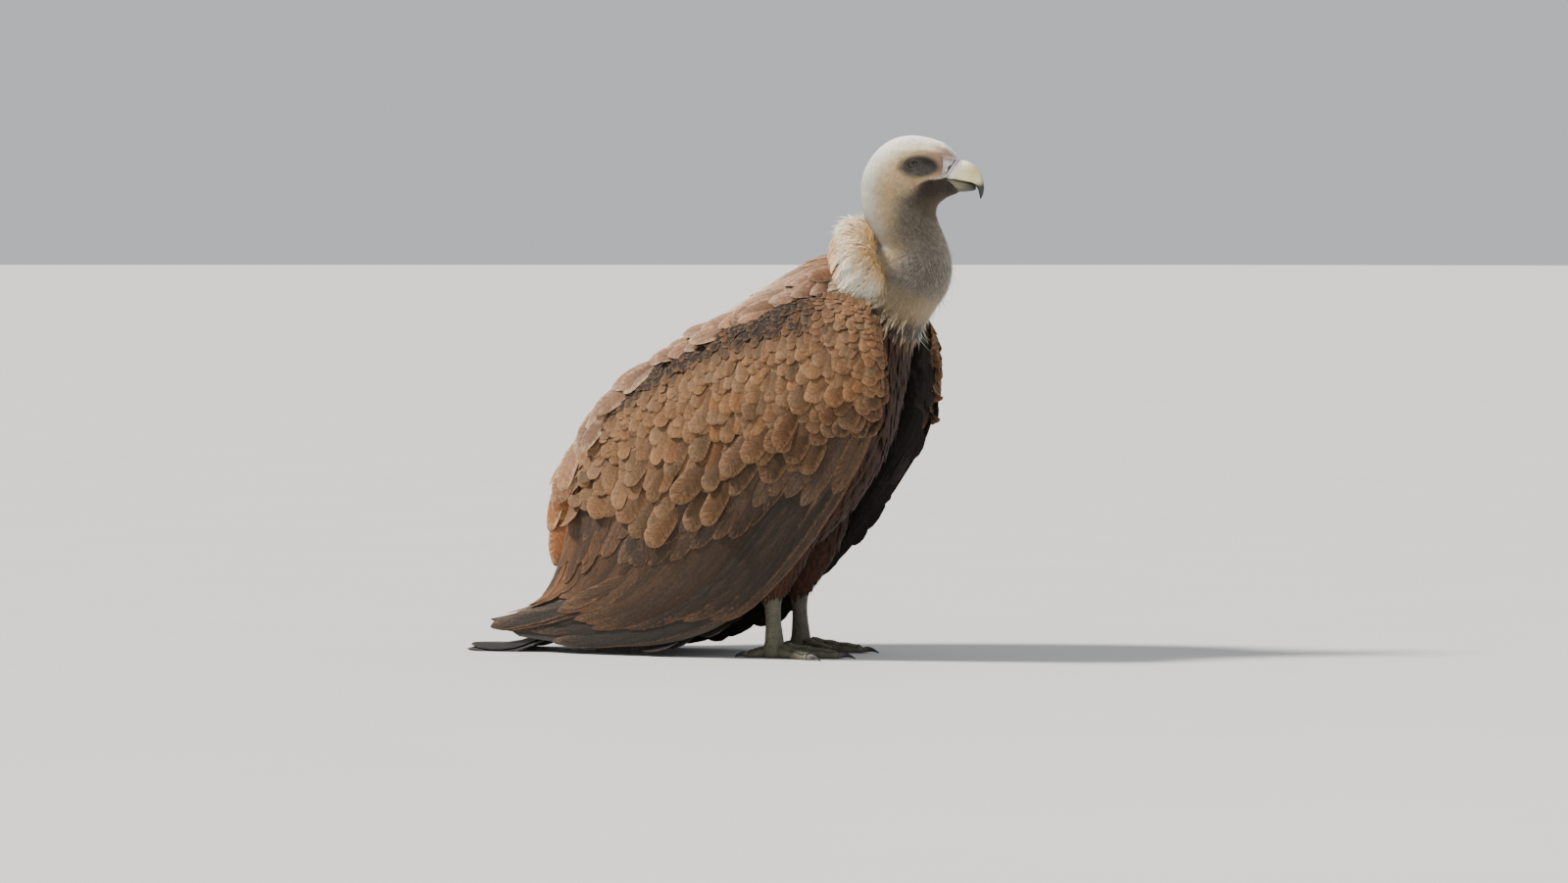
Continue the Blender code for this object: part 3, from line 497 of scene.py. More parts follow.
def mantle(a, b):
    """The roof of back feathers: a ridge, with an arc that leans out and down by b on each side.

    Past a right angle it hangs on, straight down and a little outwards.
    """
    a = np.asarray(a, float)
    ridge, half, drop = read_stations(MANTLE_STATIONS, a)
    ahead = read_stations(MANTLE_STATIONS, a + STEP)[0] - read_stations(MANTLE_STATIONS, a - STEP)[0]
    ahead /= np.linalg.norm(ahead, axis=-1)[..., None]
    lean = np.clip(b, -np.pi / 2, np.pi / 2)
    over = np.abs(b) - np.abs(lean)
    down = drop * (1 - np.cos(lean) + over)
    x = ridge[..., 0] - ahead[..., 1] * down
    z = ridge[..., 1] + ahead[..., 0] * down
    return np.stack([x, half * np.sin(lean) * (1 + 0.18 * over), z], axis=-1)


def ruff(a, b):
    """The collar as a bent tube: b is the bearing round the neck, a the angle over the tube.

    a is 0 on top and grows outwards and down, and negative towards the neck.
    """
    def spine(bearing):
        """The tube's middle line."""
        forward = (1 - np.cos(bearing)) / (1 - math.cos(RUFF_SWEEP))
        middle = RUFF_BACK + (RUFF_FRONT - RUFF_BACK) * forward[..., None]
        out = RUFF_OUT * np.sin(bearing) * (1 - RUFF_DRAW_IN * forward)
        return np.stack([middle[..., 0], out, middle[..., 1]], axis=-1)

    b = np.asarray(b, float)
    along = spine(b + STEP) - spine(b - STEP)
    along /= np.linalg.norm(along, axis=-1)[..., None]
    side = np.cross(along, [0.0, 0.0, 1.0])
    side /= np.linalg.norm(side, axis=-1)[..., None]
    fore = np.cross(side, along)
    taper = (1 - RUFF_TAPER * np.abs(np.clip(b / RUFF_SWEEP, -1, 1)) ** 4)[..., None]
    over = np.cos(a)[..., None] * fore * RUFF_TALL * taper
    return spine(b) + over - np.sin(a)[..., None] * side * RUFF_THICK * taper


def tail_level(a, b, share):
    """The tail at a from rump to tip and b from -1 to 1 across, share of the way to its underside."""
    top, half, thick = read_stations(TAIL_STATIONS, a)
    arch = TAIL_ARCH * (1 - ramp(0.55, 0.85, a)) * b ** 2
    edge = TAIL_EDGE_SHARE + (1 - TAIL_EDGE_SHARE) * np.sqrt(1 - (0.98 * np.clip(b, -1, 1)) ** 2)
    down = arch + thick * 0.5 * (1 + (2 * share - 1) * edge)
    return np.stack([top[..., 0], half * b, top[..., 1] - down], axis=-1)


def tail(a, b):
    """The tail's upper face."""
    return tail_level(np.asarray(a, float), np.asarray(b, float), 0.0)


def thigh_of(side):
    """The thigh of one side: an upright oval tube, a from hip to ankle."""
    def thigh(a, b):
        """The thigh's point at a along it and b round it from the front."""
        path, fore, across = read_stations(THIGH_STATIONS, a)
        x = path[..., 0] + fore * np.cos(b)
        y = path[..., 1] * side - across * np.sin(b)
        return np.stack([x, y, path[..., 2] + 0 * b], axis=-1)

    return thigh


def tarsus_of(side):
    """The shank and the foot's stump as one upright tube, a from ankle to sole."""
    down_shank = np.linspace(0, 1, 6)
    shank = TARSUS_RADIUS * (TARSUS_JOINT - TARSUS_WAIST * np.sin(np.pi * down_shank) ** 0.7)
    heights = [0.088, *(ANKLE[2] + (FOOT_TOP[2] - ANKLE[2]) * down_shank[:-1])]
    heights += [height for height, _ in FOOT_STUMP]
    radii = [1.2 * shank[0], *shank[:-1]] + [radius for _, radius in FOOT_STUMP]

    def tarsus(a, b):
        """The shank's point at a along it and b round it from the front."""
        height = smooth(heights, a)
        radius = smooth(radii, a)
        share = np.clip((ANKLE[2] - height) / (ANKLE[2] - FOOT_TOP[2]), 0, 1)
        x = ANKLE[0] + (FOOT_TOP[0] - ANKLE[0]) * share + TARSUS_DEPTH * radius * np.cos(b)
        y = (ANKLE[1] + (FOOT_TOP[1] - ANKLE[1]) * share) * side - radius * np.sin(b)
        return np.stack([x, y, height + 0 * b], axis=-1)

    return tarsus


def toe_of(side, bearing, length, radius):
    """A toe as a tube along the floor, a from root to tip, b round it from the top.

    Its joints swell a little, and its underside is flattened at the floor.
    """
    heading = math.radians(bearing) * side
    ahead = np.array([math.cos(heading), math.sin(heading), 0.0])
    beside = np.array([-math.sin(heading), math.cos(heading), 0.0])
    start = FOOT_TOP * [1, side, 0]

    def toe(a, b):
        """The toe's point at (a, b)."""
        a = np.asarray(a, float)
        height = radius * (1.0 - TOE_SINK * a) - FLOOR_BITE + TOE_RISE * np.clip(1 - a, 0, 1) ** 2
        swell = 1 + 0.07 * np.cos(2 * np.pi * a * (length / 0.022))
        end = np.sqrt(np.clip(1 - np.clip((a - 0.93) / 0.09, 0, 1) ** 2, 0.12, 1))
        thick = radius * (1 - (1 - TOE_TIP_SHARE) * a) * swell * end * 0.97
        middle = start + ahead * (length * a)[..., None]
        point = middle - beside * (thick * TOE_WIDTH * np.sin(b))[..., None]
        point[..., 2] = np.maximum(height + thick * np.cos(b), ABOVE_FLOOR)
        return point

    return toe


# ---------------------------------------------------------------- arrays and meshes
def shell_volume(points, faces):
    """Signed volume of closed faces: a third of each face's dot product with its area, summed."""
    first = points[..., faces[:, 0], :]
    total = 0.0
    for k in range(1, faces.shape[1] - 1):
        second, third = points[..., faces[:, k], :], points[..., faces[:, k + 1], :]
        total = total + (first * np.cross(second, third)).sum(-1).sum(-1) / 6
    return total


def tube(rings, marks, box, slot=0):
    """A closed tube: quads between rings, a fan over each end, all facing outwards.

    Its place on the bake map is (round, along) within box, with a narrow margin.
    """
    count, around = rings.shape[:2]
    row, column = np.meshgrid(np.arange(count - 1), np.arange(around), indexing="ij")
    rows = row[..., None] + np.array([0, 1, 1, 0])
    columns = column[..., None] + np.array([0, 0, 1, 1])
    quads = (rows * around + columns % around).reshape(-1, 4)
    corners = np.stack([columns / around, rows / (count - 1)], -1).reshape(-1, 4, 2)
    ring = np.arange(around)
    after = (ring + 1) % around
    last = (count - 1) * around
    tris = np.concatenate([
        np.stack([ring, after, np.full(around, count * around)], -1),
        np.stack([last + after, last + ring, np.full(around, count * around + 1)], -1),
    ])
    spread = np.stack([ring, ring + 1, ring + 0.5], -1) / around
    tri_corners = np.concatenate([
        np.stack([spread, np.tile([0.0, 0.0, -0.004], (around, 1))], -1),
        np.stack([spread[:, [1, 0, 2]], np.tile([1.0, 1.0, 1.004], (around, 1))], -1),
    ])
    points = np.concatenate([rings.reshape(-1, 3), rings[:1].mean(1), rings[-1:].mean(1)])
    points[:, 2] = np.maximum(points[:, 2], ABOVE_FLOOR)
    marks = np.broadcast_to(marks, rings.shape).reshape(-1, 3)
    marks = np.concatenate([marks, marks[:1], marks[-1:]])
    if shell_volume(points, quads) + shell_volume(points, tris) < 0:
        quads, tris, corners, tri_corners = (part[:, ::-1] for part in (quads, tris, corners, tri_corners))

    def fitted(place):
        """A place in the unit square, moved into box."""
        margin = 0.01
        return np.array(box[:2]) + np.subtract(box[2:], box[:2]) * (margin + (1 - 2 * margin) * place)

    return {
        "points": points, "quads": quads, "tris": tris, "marks": marks,
        "bake": fitted(corners), "tri_bake": fitted(tri_corners), "slot": slot,
    }


def joined(shapes):
    """Several shapes as one, with their faces renumbered."""
    starts = np.cumsum([0] + [len(shape["points"]) for shape in shapes])
    whole = {key: np.concatenate([shape[key] for shape in shapes])
             for key in shapes[0] if key not in ("quads", "tris", "slot")}
    for key in ("quads", "tris"):
        whole[key] = np.concatenate([shape[key] + start for shape, start in zip(shapes, starts)])
    slots = [np.full(len(shape[key]), shape["slot"]) for key in ("quads", "tris") for shape in shapes]
    whole["slots"] = np.concatenate(slots)
    return whole


def make_piece(name, shapes, looks):
    """Put shapes into one mesh object at the origin, riding on the bird."""
    whole = joined(shapes)
    quads, tris = whole["quads"], whole["tris"]
    corners = np.concatenate([quads.ravel(), tris.ravel()]).astype(np.int32)
    starts = np.concatenate([np.arange(len(quads)) * 4, len(quads) * 4 + np.arange(len(tris)) * 3])
    mesh = bpy.data.meshes.new(name)
    mesh.vertices.add(len(whole["points"]))
    mesh.vertices.foreach_set("co", (whole["points"] + FEET_AT).astype(np.float32).ravel())
    mesh.loops.add(len(corners))
    mesh.loops.foreach_set("vertex_index", corners)
    mesh.polygons.add(len(starts))
    mesh.polygons.foreach_set("loop_start", starts.astype(np.int32))
    mesh.polygons.foreach_set("material_index", whole["slots"].astype(np.int32))
    mesh.update(calc_edges=True)
    places = {"OFBake": np.concatenate([whole["bake"].reshape(-1, 2), whole["tri_bake"].reshape(-1, 2)])}
    if "vane" in whole:
        places["Vane"] = whole["vane"][corners]
    for layer, place in places.items():
        mesh.uv_layers.new(name=layer).data.foreach_set("uv", place.astype(np.float32).ravel())
    marks = np.ones((len(whole["points"]), 4), np.float32)
    marks[:, :3] = whole["marks"]
    mesh.color_attributes.new("markings", "FLOAT_COLOR", "POINT").data.foreach_set("color", marks.ravel())
    mesh.shade_smooth()
    if "sharp" in whole:
        ends = np.empty(len(mesh.edges) * 2, np.int32)
        mesh.edges.foreach_get("vertices", ends)
        rim = whole["sharp"][ends].reshape(-1, 2).all(axis=1)
        mesh.attributes.new("sharp_edge", "BOOLEAN", "EDGE").data.foreach_set("value", rim)
    for look in looks:
        mesh.materials.append(look)
    piece = bpy.data.objects.new(name, mesh)
    bpy.context.scene.collection.objects.link(piece)
    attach(piece, "root")
    return piece


# ---------------------------------------------------------------- feathers
def vane_form(rows, widths, columns):
    """A feather's net: a grid of rows and columns, doubled on its underside and closed at its rim."""
    rows = np.asarray(rows, float)
    across = np.linspace(-1, 1, columns)
    count = len(rows)
    top = np.arange(count * columns).reshape(count, columns)
    under = top.copy()
    inside = np.arange((count - 2) * (columns - 2)).reshape(count - 2, columns - 2)
    under[1:-1, 1:-1] = count * columns + inside

    def faces(grid):
        """The quads of a grid of point numbers."""
        return np.stack([grid[:-1, :-1], grid[1:, :-1], grid[1:, 1:], grid[:-1, 1:]], -1).reshape(-1, 4)

    row, column = np.meshgrid(np.arange(count), np.arange(columns), indexing="ij")
    row = np.concatenate([row.ravel(), row[1:-1, 1:-1].ravel()])
    column = np.concatenate([column.ravel(), column[1:-1, 1:-1].ravel()])
    upper = np.arange(len(row)) < count * columns
    rim = (row == 0) | (row == count - 1) | (column == 0) | (column == columns - 1)
    return {
        "rows": rows, "row": row, "across": across[column], "wide": np.asarray(widths, float)[row],
        "up": np.where(rim, 0.0, np.where(upper, 0.5, -0.5)), "rim": rim & upper,
        "quads": np.concatenate([faces(top), faces(under)[:, ::-1]]), "tris": np.empty((0, 3), int),
    }


def spike_form(rows, widths):
    """A lock of down: a three-sided blade whose rings end in one point."""
    count = len(rows) - 1
    ring = np.arange(count * 3).reshape(count, 3)
    tip = count * 3
    nearby = np.roll(ring, -1, axis=1)
    quads = np.stack([ring[:-1], ring[1:], nearby[1:], nearby[:-1]], -1).reshape(-1, 4)
    end = np.stack([ring[-1], np.full(3, tip), nearby[-1]], -1)
    row = np.append(np.repeat(np.arange(count), 3), count)
    across = np.append(np.tile([-1.0, 1.0, 0.0], count), 0.0)
    up = np.append(np.tile([0.0, 0.0, 1.0], count), 0.0)
    return {
        "rows": np.asarray(rows, float), "row": row, "across": across,
        "wide": np.asarray(widths, float)[row], "up": up, "rim": np.zeros(len(row), bool),
        "quads": quads[:, ::-1], "tris": np.concatenate([end, ring[:1]])[:, ::-1],
    }


# Each form's rows along the feather, its width at them as a share of the widest, and its columns.
CONTOUR = vane_form((0, 0.30, 0.60, 0.82, 0.94, 1.0), (0.35, 0.85, 1.0, 0.90, 0.62, 0.24), 3)
BROAD = vane_form((0, 0.25, 0.5, 0.70, 0.85, 0.94, 0.985, 1.0), (0.4, 0.85, 1, 1, 0.92, 0.72, 0.45, 0.2), 5)
ROUND = vane_form(
    (0, 0.25, 0.5, 0.72, 0.86, 0.94, 0.985, 1.0),
    (0.45, 0.85, 1, 1, 0.97, 0.84, 0.58, 0.30), 5,
)
LANCE = vane_form((0, 0.30, 0.60, 0.84, 1.0), (0.40, 0.95, 0.85, 0.50, 0.08), 3)
QUILL = vane_form(
    (0, 0.10, 0.22, 0.35, 0.48, 0.60, 0.72, 0.82, 0.90, 0.95, 0.985, 1.0),
    (0.4, 0.8, 0.95, 1, 1, 1, 1, 0.96, 0.84, 0.66, 0.40, 0.16), 7,
)
SCUTE = vane_form((0, 0.35, 0.75, 1.0), (0.8, 1.0, 0.95, 0.7), 5)
DOWN = spike_form((0, 1.0), (1.0, 0.0))
WISP = spike_form((0, 0.35, 0.7, 1.0), (1.0, 0.8, 0.5, 0.0))


def reach_of(surface, roots, length, turn):
    """Steps in a and b that run length along the surface, turned from the lie by turn."""
    _, normal, by_a, by_b = frame_at(surface, roots[:, 0], roots[:, 1])
    ahead = by_a / np.linalg.norm(by_a, axis=-1)[:, None]
    beside = np.cross(normal, ahead)
    way = np.cos(turn)[:, None] * ahead + np.sin(turn)[:, None] * beside
    aa = (by_a * by_a).sum(-1)
    ab = (by_a * by_b).sum(-1)
    bb = (by_b * by_b).sum(-1)
    grip = np.maximum(aa * bb - ab * ab, 1e-9)
    on_a = (by_a * way).sum(-1)
    on_b = (by_b * way).sum(-1)
    return np.stack([bb * on_a - ab * on_b, aa * on_b - ab * on_a], -1) * (length / grip)[:, None]


def vane_points(surface, form, roots, reach, half, sink=0.003, rise=0.002, camber=0.2, tilt=0.0,
                curl=0.0, bend=0.0, thick=0.0006, droop=0.0, sweep=0.55):
    """The points of each feather's net.

    A feather's middle line runs over the surface from its root, by reach, at a height that climbs
    from -sink to rise. Across it, the vane is half wide, arched by camber and tilted about its line.
    curl lifts the tip, bend swings it aside, droop lets it fall and sweep draws its edges back.
    """
    half, sink, rise, camber, tilt, curl, bend, thick, droop = (
        np.broadcast_to(np.asarray(value, float), (len(roots),))[:, None]
        for value in (half, sink, rise, camber, tilt, curl, bend, thick, droop)
    )
    rows = form["rows"]
    path_a = roots[:, :1] + reach[:, :1] * rows
    path_b = roots[:, 1:] + reach[:, 1:] * rows
    line, normal, by_a, by_b = frame_at(surface, path_a, path_b)
    way = by_a * reach[:, None, :1] + by_b * reach[:, None, 1:]
    length = np.linalg.norm(way, axis=-1).mean(1)[:, None]
    way /= np.maximum(np.linalg.norm(way, axis=-1), 1e-12)[..., None]
    side = np.cross(normal, way)
    row = form["row"]
    line, normal, way, side = (vectors[:, row] for vectors in (line, normal, way, side))
    s = rows[row]
    w = form["across"]
    wide = half * form["wide"]
    height = (
        -sink + (sink + rise) * s ** 0.8 + camber * wide * (1 - w ** 2) + tilt * half * w * s
        + thick * form["up"] + curl * length * s ** 3
    )
    out = wide * w + bend * length * s ** 2
    back = sweep * wide * w ** 2 * s
    points = line + side * out[..., None] + normal * height[..., None] - way * back[..., None]
    points[..., 2] -= droop * s ** 2
    points[..., 2] = np.maximum(points[..., 2], FEATHER_FLOOR)
    return points


def lay(surface, form, roots, reach, half, marks, span, box=WHOLE_MAP, mirror=False, **shape):
    """Lay feathers on a surface, all at once, each shaped as vane_points says.

    marks gives the feathers' colours at root and tip. span and box place them on the bake map.
    Feathers that fold over on themselves, which shows in a negative volume, are left out.
    """
    points = vane_points(surface, form, roots, reach, half, **shape)
    middle = points - points.mean(1)[:, None]
    volume = shell_volume(middle, form["quads"])
    if len(form["tris"]):
        volume = volume + shell_volume(middle, form["tris"])
    kept = volume > 0
    points = points[kept]
    s = form["rows"][form["row"]]
    w = form["across"]
    at_root, at_tip = (
        np.broadcast_to(colour, (len(kept), 3))[kept][:, None]
        for colour in (marks if isinstance(marks, tuple) else (marks, marks))
    )
    colour = at_root * (1 - s[:, None]) + at_tip * s[:, None]
    vane = np.broadcast_to(np.stack([w * 0.5 + 0.5, s], -1), points.shape[:2] + (2,))
    place = bake_place(roots[kept], span, box)[:, None] + PATCH * (np.stack([w * 0.5, s - 0.5], -1)[None])
    place = place.reshape(-1, 2)
    shift = np.arange(len(points))[:, None, None] * len(s)
    quads = (form["quads"] + shift).reshape(-1, 4)
    tris = (form["tris"] + shift).reshape(-1, 3)
    sharp = np.tile(form["rim"], len(points))
    points = points.reshape(-1, 3)
    if mirror:
        points = points * [1, -1, 1]
        quads = quads[:, ::-1]
        tris = tris[:, ::-1]
    return {
        "points": points, "quads": quads, "tris": tris, "marks": colour.reshape(-1, 3),
        "bake": place[quads], "tri_bake": place[tris], "slot": 0,
        "vane": vane.reshape(-1, 2), "sharp": sharp,
    }


def grow(surface, form, roots, length, turn, *rest, **settings):
    """Lay feathers of a given length, turned from the lie of the coat."""
    return lay(surface, form, roots, reach_of(surface, roots, length, turn), *rest, **settings)


def bake_place(roots, span, box):
    """Where roots lie on the bake map: span, from low to high (a, b), fills box, b across and a up."""
    low, high = np.asarray(span, float)
    share = np.clip((roots - low) / (high - low), 0, 1)
    return np.stack([
        box[0] + (box[2] - box[0]) * share[:, 1],
        box[1] + (box[3] - box[1]) * share[:, 0],
    ], -1)


def scatter(surface, span, density, seed):
    """Roots spread evenly over a stretch of surface, as many to a square metre as density says.

    Candidates come from the R2 sequence, whose steps are the powers of 1 over the plastic number,
    and each is kept with a chance of its area times its density.
    """
    low, high = np.asarray(span, float)
    even = np.linspace(0, 1, 40)
    grid = np.stack(np.meshgrid(even, even, indexing="ij"), -1).reshape(-1, 2)

    def crowd(places):
        """Feathers that the whole stretch would hold if it were all like these places."""
        a, b = (low + (high - low) * places).T
        _, _, by_a, by_b = frame_at(surface, a, b)
        area = np.linalg.norm(np.cross(by_a, by_b), axis=-1) * np.prod(high - low)
        return area * value_at(density, a, b)

    most = crowd(grid).max() * 1.02
    number = np.arange(1, int(most) + 1)[:, None]
    places = (seed * 0.317 + number * ROOT_STEPS) % 1.0
    chance = np.random.default_rng(seed).random(len(places))
    return (low + (high - low) * places)[chance < crowd(places) / most]


def value_at(value, a, b):
    """A plain number, or what a function of (a, b) gives."""
    return value(a, b) if callable(value) else value


class Draws:
    """Random numbers for a bed of feathers: each call gives one for every feather."""

    def __init__(self, seed, count=0):
        self.seed = seed
        self.count = count
        self.rng = np.random.default_rng(seed)

    def over(self, surface, span, density, seed=None):
        """Scatter roots over a surface, and draw for as many feathers from now on."""
        roots = scatter(surface, span, density, self.seed if seed is None else seed)
        self.count = len(roots)
        return roots

    def bell(self, spread):
        """Normal numbers about 0."""
        return spread * self.rng.standard_normal(self.count)

    def between(self, low, high):
        """Even numbers from low to high."""
        return self.rng.uniform(low, high, self.count)

    def chosen(self, share):
        """True for that share of the feathers, as a column."""
        return self.rng.random((self.count, 1)) < share

    def tones(self, colour, spread=0.12, warmth=0.04):
        """Copies of a colour, each a little lighter or darker and warmer or cooler."""
        shade = 1 + spread * self.rng.standard_normal((self.count, 1))
        tint = 1 + warmth * self.rng.standard_normal((self.count, 1)) * np.array([1.0, 0.0, -1.0])
        return np.clip(colour * np.clip(shade, 0.5, 1.6) * tint, 0.004, 0.95)


# ---------------------------------------------------------------- markings
def body_marks(a, b):
    """Colour of the body's plumage and skin at (a, b).

    White crown and nape, buff sides, dark jaw under the line of the mouth, brown throat darkened by
    painted shade under the chin, grey speckled neck and crop with a beige hem, rufous brown below
    darkened by painted shade.
    """
    flat = body_flat(a, b)
    x, z = flat[..., 0], flat[..., 2]
    side = np.abs(np.sin(b))
    from_back = np.abs(((np.asarray(b) + np.pi) % (2 * np.pi)) - np.pi) / np.pi
    on_side = ramp(0.4, 0.7, side)
    colour = blend(WHITE, BUFF, ramp(0.16, 0.38, from_back) * ramp(0.688, 0.660, z))
    colour = blend(colour, NECK_GREY, ramp(0.40, 0.62, from_back) * ramp(0.630, 0.600, z))
    below = under_gape(x, z)
    throat = ramp(0.130, 0.172, x + 0.3 * below) * ramp(0.0, 0.012, below) * ramp(0.110, 0.040, below)
    colour = blend(colour, THROAT_BROWN_IN_SHADE, throat)
    jaw = ramp(-0.0004, 0.0012, below) * ramp(0.156, 0.184, x + 0.30 * below) * ramp(0.036, 0.012, below)
    colour = blend(colour, JAW_BROWN * (1 - 0.45 * ramp(0.2040, 0.2070, x))[..., None], jaw)
    colour = blend(colour, PINK, 0.75 * ramp(0.188, 0.198, x) * ramp(0.631, 0.636, z) * on_side)
    colour = blend(colour, PINK, 0.45 * hump(z - 0.6655, 0.006) * ramp(0.160, 0.185, x) * on_side)
    patch_x, patch_z, reach_x, reach_z = FACE_PATCH
    # the patch darkens towards its upper and front rim; the upper part is painted shadow under the brow
    rim = ramp(0.35, 0.85, np.hypot((x - patch_x - 0.004) / reach_x, (z - patch_z + 0.006) / reach_z))
    upward = (z - patch_z) / reach_z + 0.7 * (x - patch_x) / reach_x
    patch = blend(PATCH_GREY, PATCH_DARK, rim * ramp(-0.5, 0.5, upward))
    colour = blend(colour, patch, face_patch(x, z) * on_side)
    level = ramp(0.634, 0.639, z) * ramp(0.6600, 0.6570, z) * on_side
    rear = x + 0.0005 * np.sin(z * 1100)
    # painted shade in the groove where the face meets the cere
    groove = hump(rear - 0.2030, 0.0013)
    colour = blend(colour, PATCH_DARK * 1.6, 0.80 * groove * level * ramp(0.638, 0.648, z))
    colour = blend(colour, cere_colour(x, z, 1.0, 0.0), ramp(0.2036, 0.2050, rear) * level)
    on_crop = ramp(NECK_LOW - 1.5, NECK_LOW + 0.5, a) * ramp(0.34, 0.54, from_back)
    colour = blend(colour, CROP_GREY, on_crop)
    colour = blend(colour, CROP_BEIGE, ramp(CROP_FOOT - 1.2, CROP_FOOT - 0.3, a))
    colour = blend(colour, BREAST_BROWN_IN_SHADE, ramp(CROP_FOOT - 0.1, CROP_FOOT + 0.6, a))
    return blend(colour, BELLY_RUST_IN_SHADE, ramp(CROP_FOOT + 3.0, CROP_FOOT + 7.0, a))


def wing_marks(a, b):
    """Colour of the wing: tan coverts, darker at the leading edge and past their line, black tip.

    The strip along the top that lies under the back feathers is near black: a painted shadow of their hem.
    """
    a, b = np.asarray(a, float), np.asarray(b, float)
    line = smooth(COVERT_LINE, np.clip(b, 0, 1))
    shade = 0.75 * ramp(0.50, 0.05, b) * ramp(0.16, 0.34, a) + 0.35 * ramp(0.20, 0.0, b)
    colour = blend(COVERT_TAN, COVERT_DARK, np.clip(shade, 0, 1))
    # painted shadow: the strip under the hem of the back feathers
    colour = blend(colour, COVERT_DARK * 0.15, ramp(0.150, 0.085, a) * ramp(0.26, 0.44, b))
    colour = blend(colour, QUILL_BROWN, ramp(line - 0.02, line + 0.08, a))
    return blend(colour, NEAR_BLACK, ramp(0.80, 0.97, a))


def mantle_marks(a, b):
    """Colour of the back: brown by the ruff, pale along the ridge, which is partly its own buff and partly
    painted light on the top, rust at the rear end.
    """
    # paler on top and darker down the sides: partly painted light from above
    pale = ramp(-0.02, 0.20, a) * ramp(0.15, 0.95, np.cos(b))
    colour = blend(MANTLE_BROWN, MANTLE_PALE, pale)
    return blend(colour, MANTLE_RUST, 0.90 * ramp(0.55, 0.80, a))


def ruff_marks(a, b):
    """Colour of the collar: tawny against the neck, cream outside, brown low at its front ends.

    Behind, its foot has the colour of the back's feathers, which lie over it there.
    """
    colour = blend(RUFF_TAWNY, RUFF_CREAM, ramp(-0.3, 1.1, a + 0.55 * np.cos(b)))
    inner = ramp(-0.1, -0.7, a) * ramp(1.0, 1.6, np.abs(b))
    colour = blend(colour, MANTLE_RUST * 0.8, 0.75 * inner)
    low = ramp(1.1, 2.6, a) * ramp(0.8, 1.8, np.abs(b))
    colour = blend(colour, MANTLE_BROWN, 0.50 * low)
    return blend(colour, MANTLE_BROWN, 0.7 * ramp(-0.3, 0.1, a - back_hem(b)))


def back_hem(b):
    """How far down over the collar, at bearing b, the feathers of the back begin."""
    return 0.60 + 2.2 * ramp(0.85, 1.75, np.abs(b))


def up_to_hem(roots, length):
    """Lengths cut so that the collar's feathers end a little past the first feathers of the back."""
    room = RUFF_THICK * 1.1 * (back_hem(roots[:, 1]) - roots[:, 0]) + 0.005
    return np.minimum(length, np.maximum(room, 0.009))


def cere_distance(x, z):
    """How far (x, z) lies ahead of the line where the cere ends. It is negative on the cere."""
    return (x - CERE_EDGE[0]) * CERE_WAY[1] - (z - CERE_EDGE[1]) * CERE_WAY[0]


def nostril_depth(x, z):
    """1 in the slit of the nostril, which leans with the edge of the cere."""
    away = np.stack([x - NOSTRIL[0], z - NOSTRIL[1]], -1)
    along = away @ CERE_WAY
    aside = away @ np.array([CERE_WAY[1], -CERE_WAY[0]])
    return ramp(1.3, 0.4, np.hypot(along / 0.0038, aside / 0.0015))


# ---------------------------------------------------------------- skin
def coat_depth(a):
    """How deep the skin lies under the coat's surface, from bill to rump."""
    return smooth(
        (0.0006, 0.0012, 0.0020, 0.0022, 0.0024, 0.0030, 0.0040, 0.0050, 0.0060, 0.0070, 0.0080, 0.0080),
        np.asarray(a) / TAIL_BASE,
    )


def skin_depth(a, b):
    """The coat's depth, and at each side of the bill's base more, so the skin runs in under the cere."""
    sides = ramp(0.93, 0.60, np.abs(np.cos(b)))
    x = body_flat(a, b)[..., 0]
    return coat_depth(a) + sides * (0.0046 * ramp(0.1995, 0.2085, x) + 0.0032 * ramp(0.2083, 0.2110, x))


def eye_oval(flat):
    """Place about the eye, with the opening's slant taken out, and 1 on the rim of the opening."""
    x = flat[..., 0] - EYE[0]
    z = flat[..., 2] - EYE[2] - LID_SLANT * x
    return x, z, np.maximum(np.hypot(x / LID_LONG, z / np.where(z > 0, UPPER_LID, LOWER_LID)), 1e-3)


def with_lids(flat):
    """Open the skin over each eye and raise folded lids round the opening.

    Points close to the rim are moved onto it. Near the eye the skin's distance from the middle
    follows the eyeball: under it inside the opening, and a lid's thickness over it at the rim. Two
    more folds ring the lids.
    """
    side = np.sign(flat[..., 1])
    at_side = np.abs(flat[..., 1]) > 0.012
    opened = flat.copy()
    x, z, oval = eye_oval(flat)
    snap = np.where((np.abs(oval - 1) < 0.045) & at_side, 1 / oval, 1.0)
    x, z, oval = x * snap, z * snap, oval * snap
    opened[..., 0] = EYE[0] + x
    opened[..., 2] = EYE[2] + z + LID_SLANT * x
    away = np.minimum(np.hypot(x, z), 0.93 * EYE_RADIUS)
    ball = EYE[1] + np.sqrt(EYE_RADIUS ** 2 - away ** 2)
    inside = ramp(0.985, 0.93, oval)
    folds = (
        0.0013 * hump(oval - 1.10, 0.13) + 0.0007 * hump(oval - 1.52, 0.12)
        + 0.0003 * hump(oval - 1.95, 0.14)
    )
    out = (ball + folds) * (1 - inside) + (ball - 0.0018) * inside
    share = ramp(2.5, 1.2, oval) * at_side
    opened[..., 1] = side * (np.abs(flat[..., 1]) * (1 - share) + out * share)
    return opened


def crowded(low, high, count, middles, width, gain):
    """Values from low to high, up to 1 + gain times as close together near the middles."""
    fine = np.linspace(low, high, 4000)
    weight = 1 + gain * sum(hump(fine - middle, width) for middle in middles)
    total = np.concatenate([[0], np.cumsum((weight[1:] + weight[:-1]) / 2)])
    return np.interp(np.linspace(0, total[-1], count), total, fine)


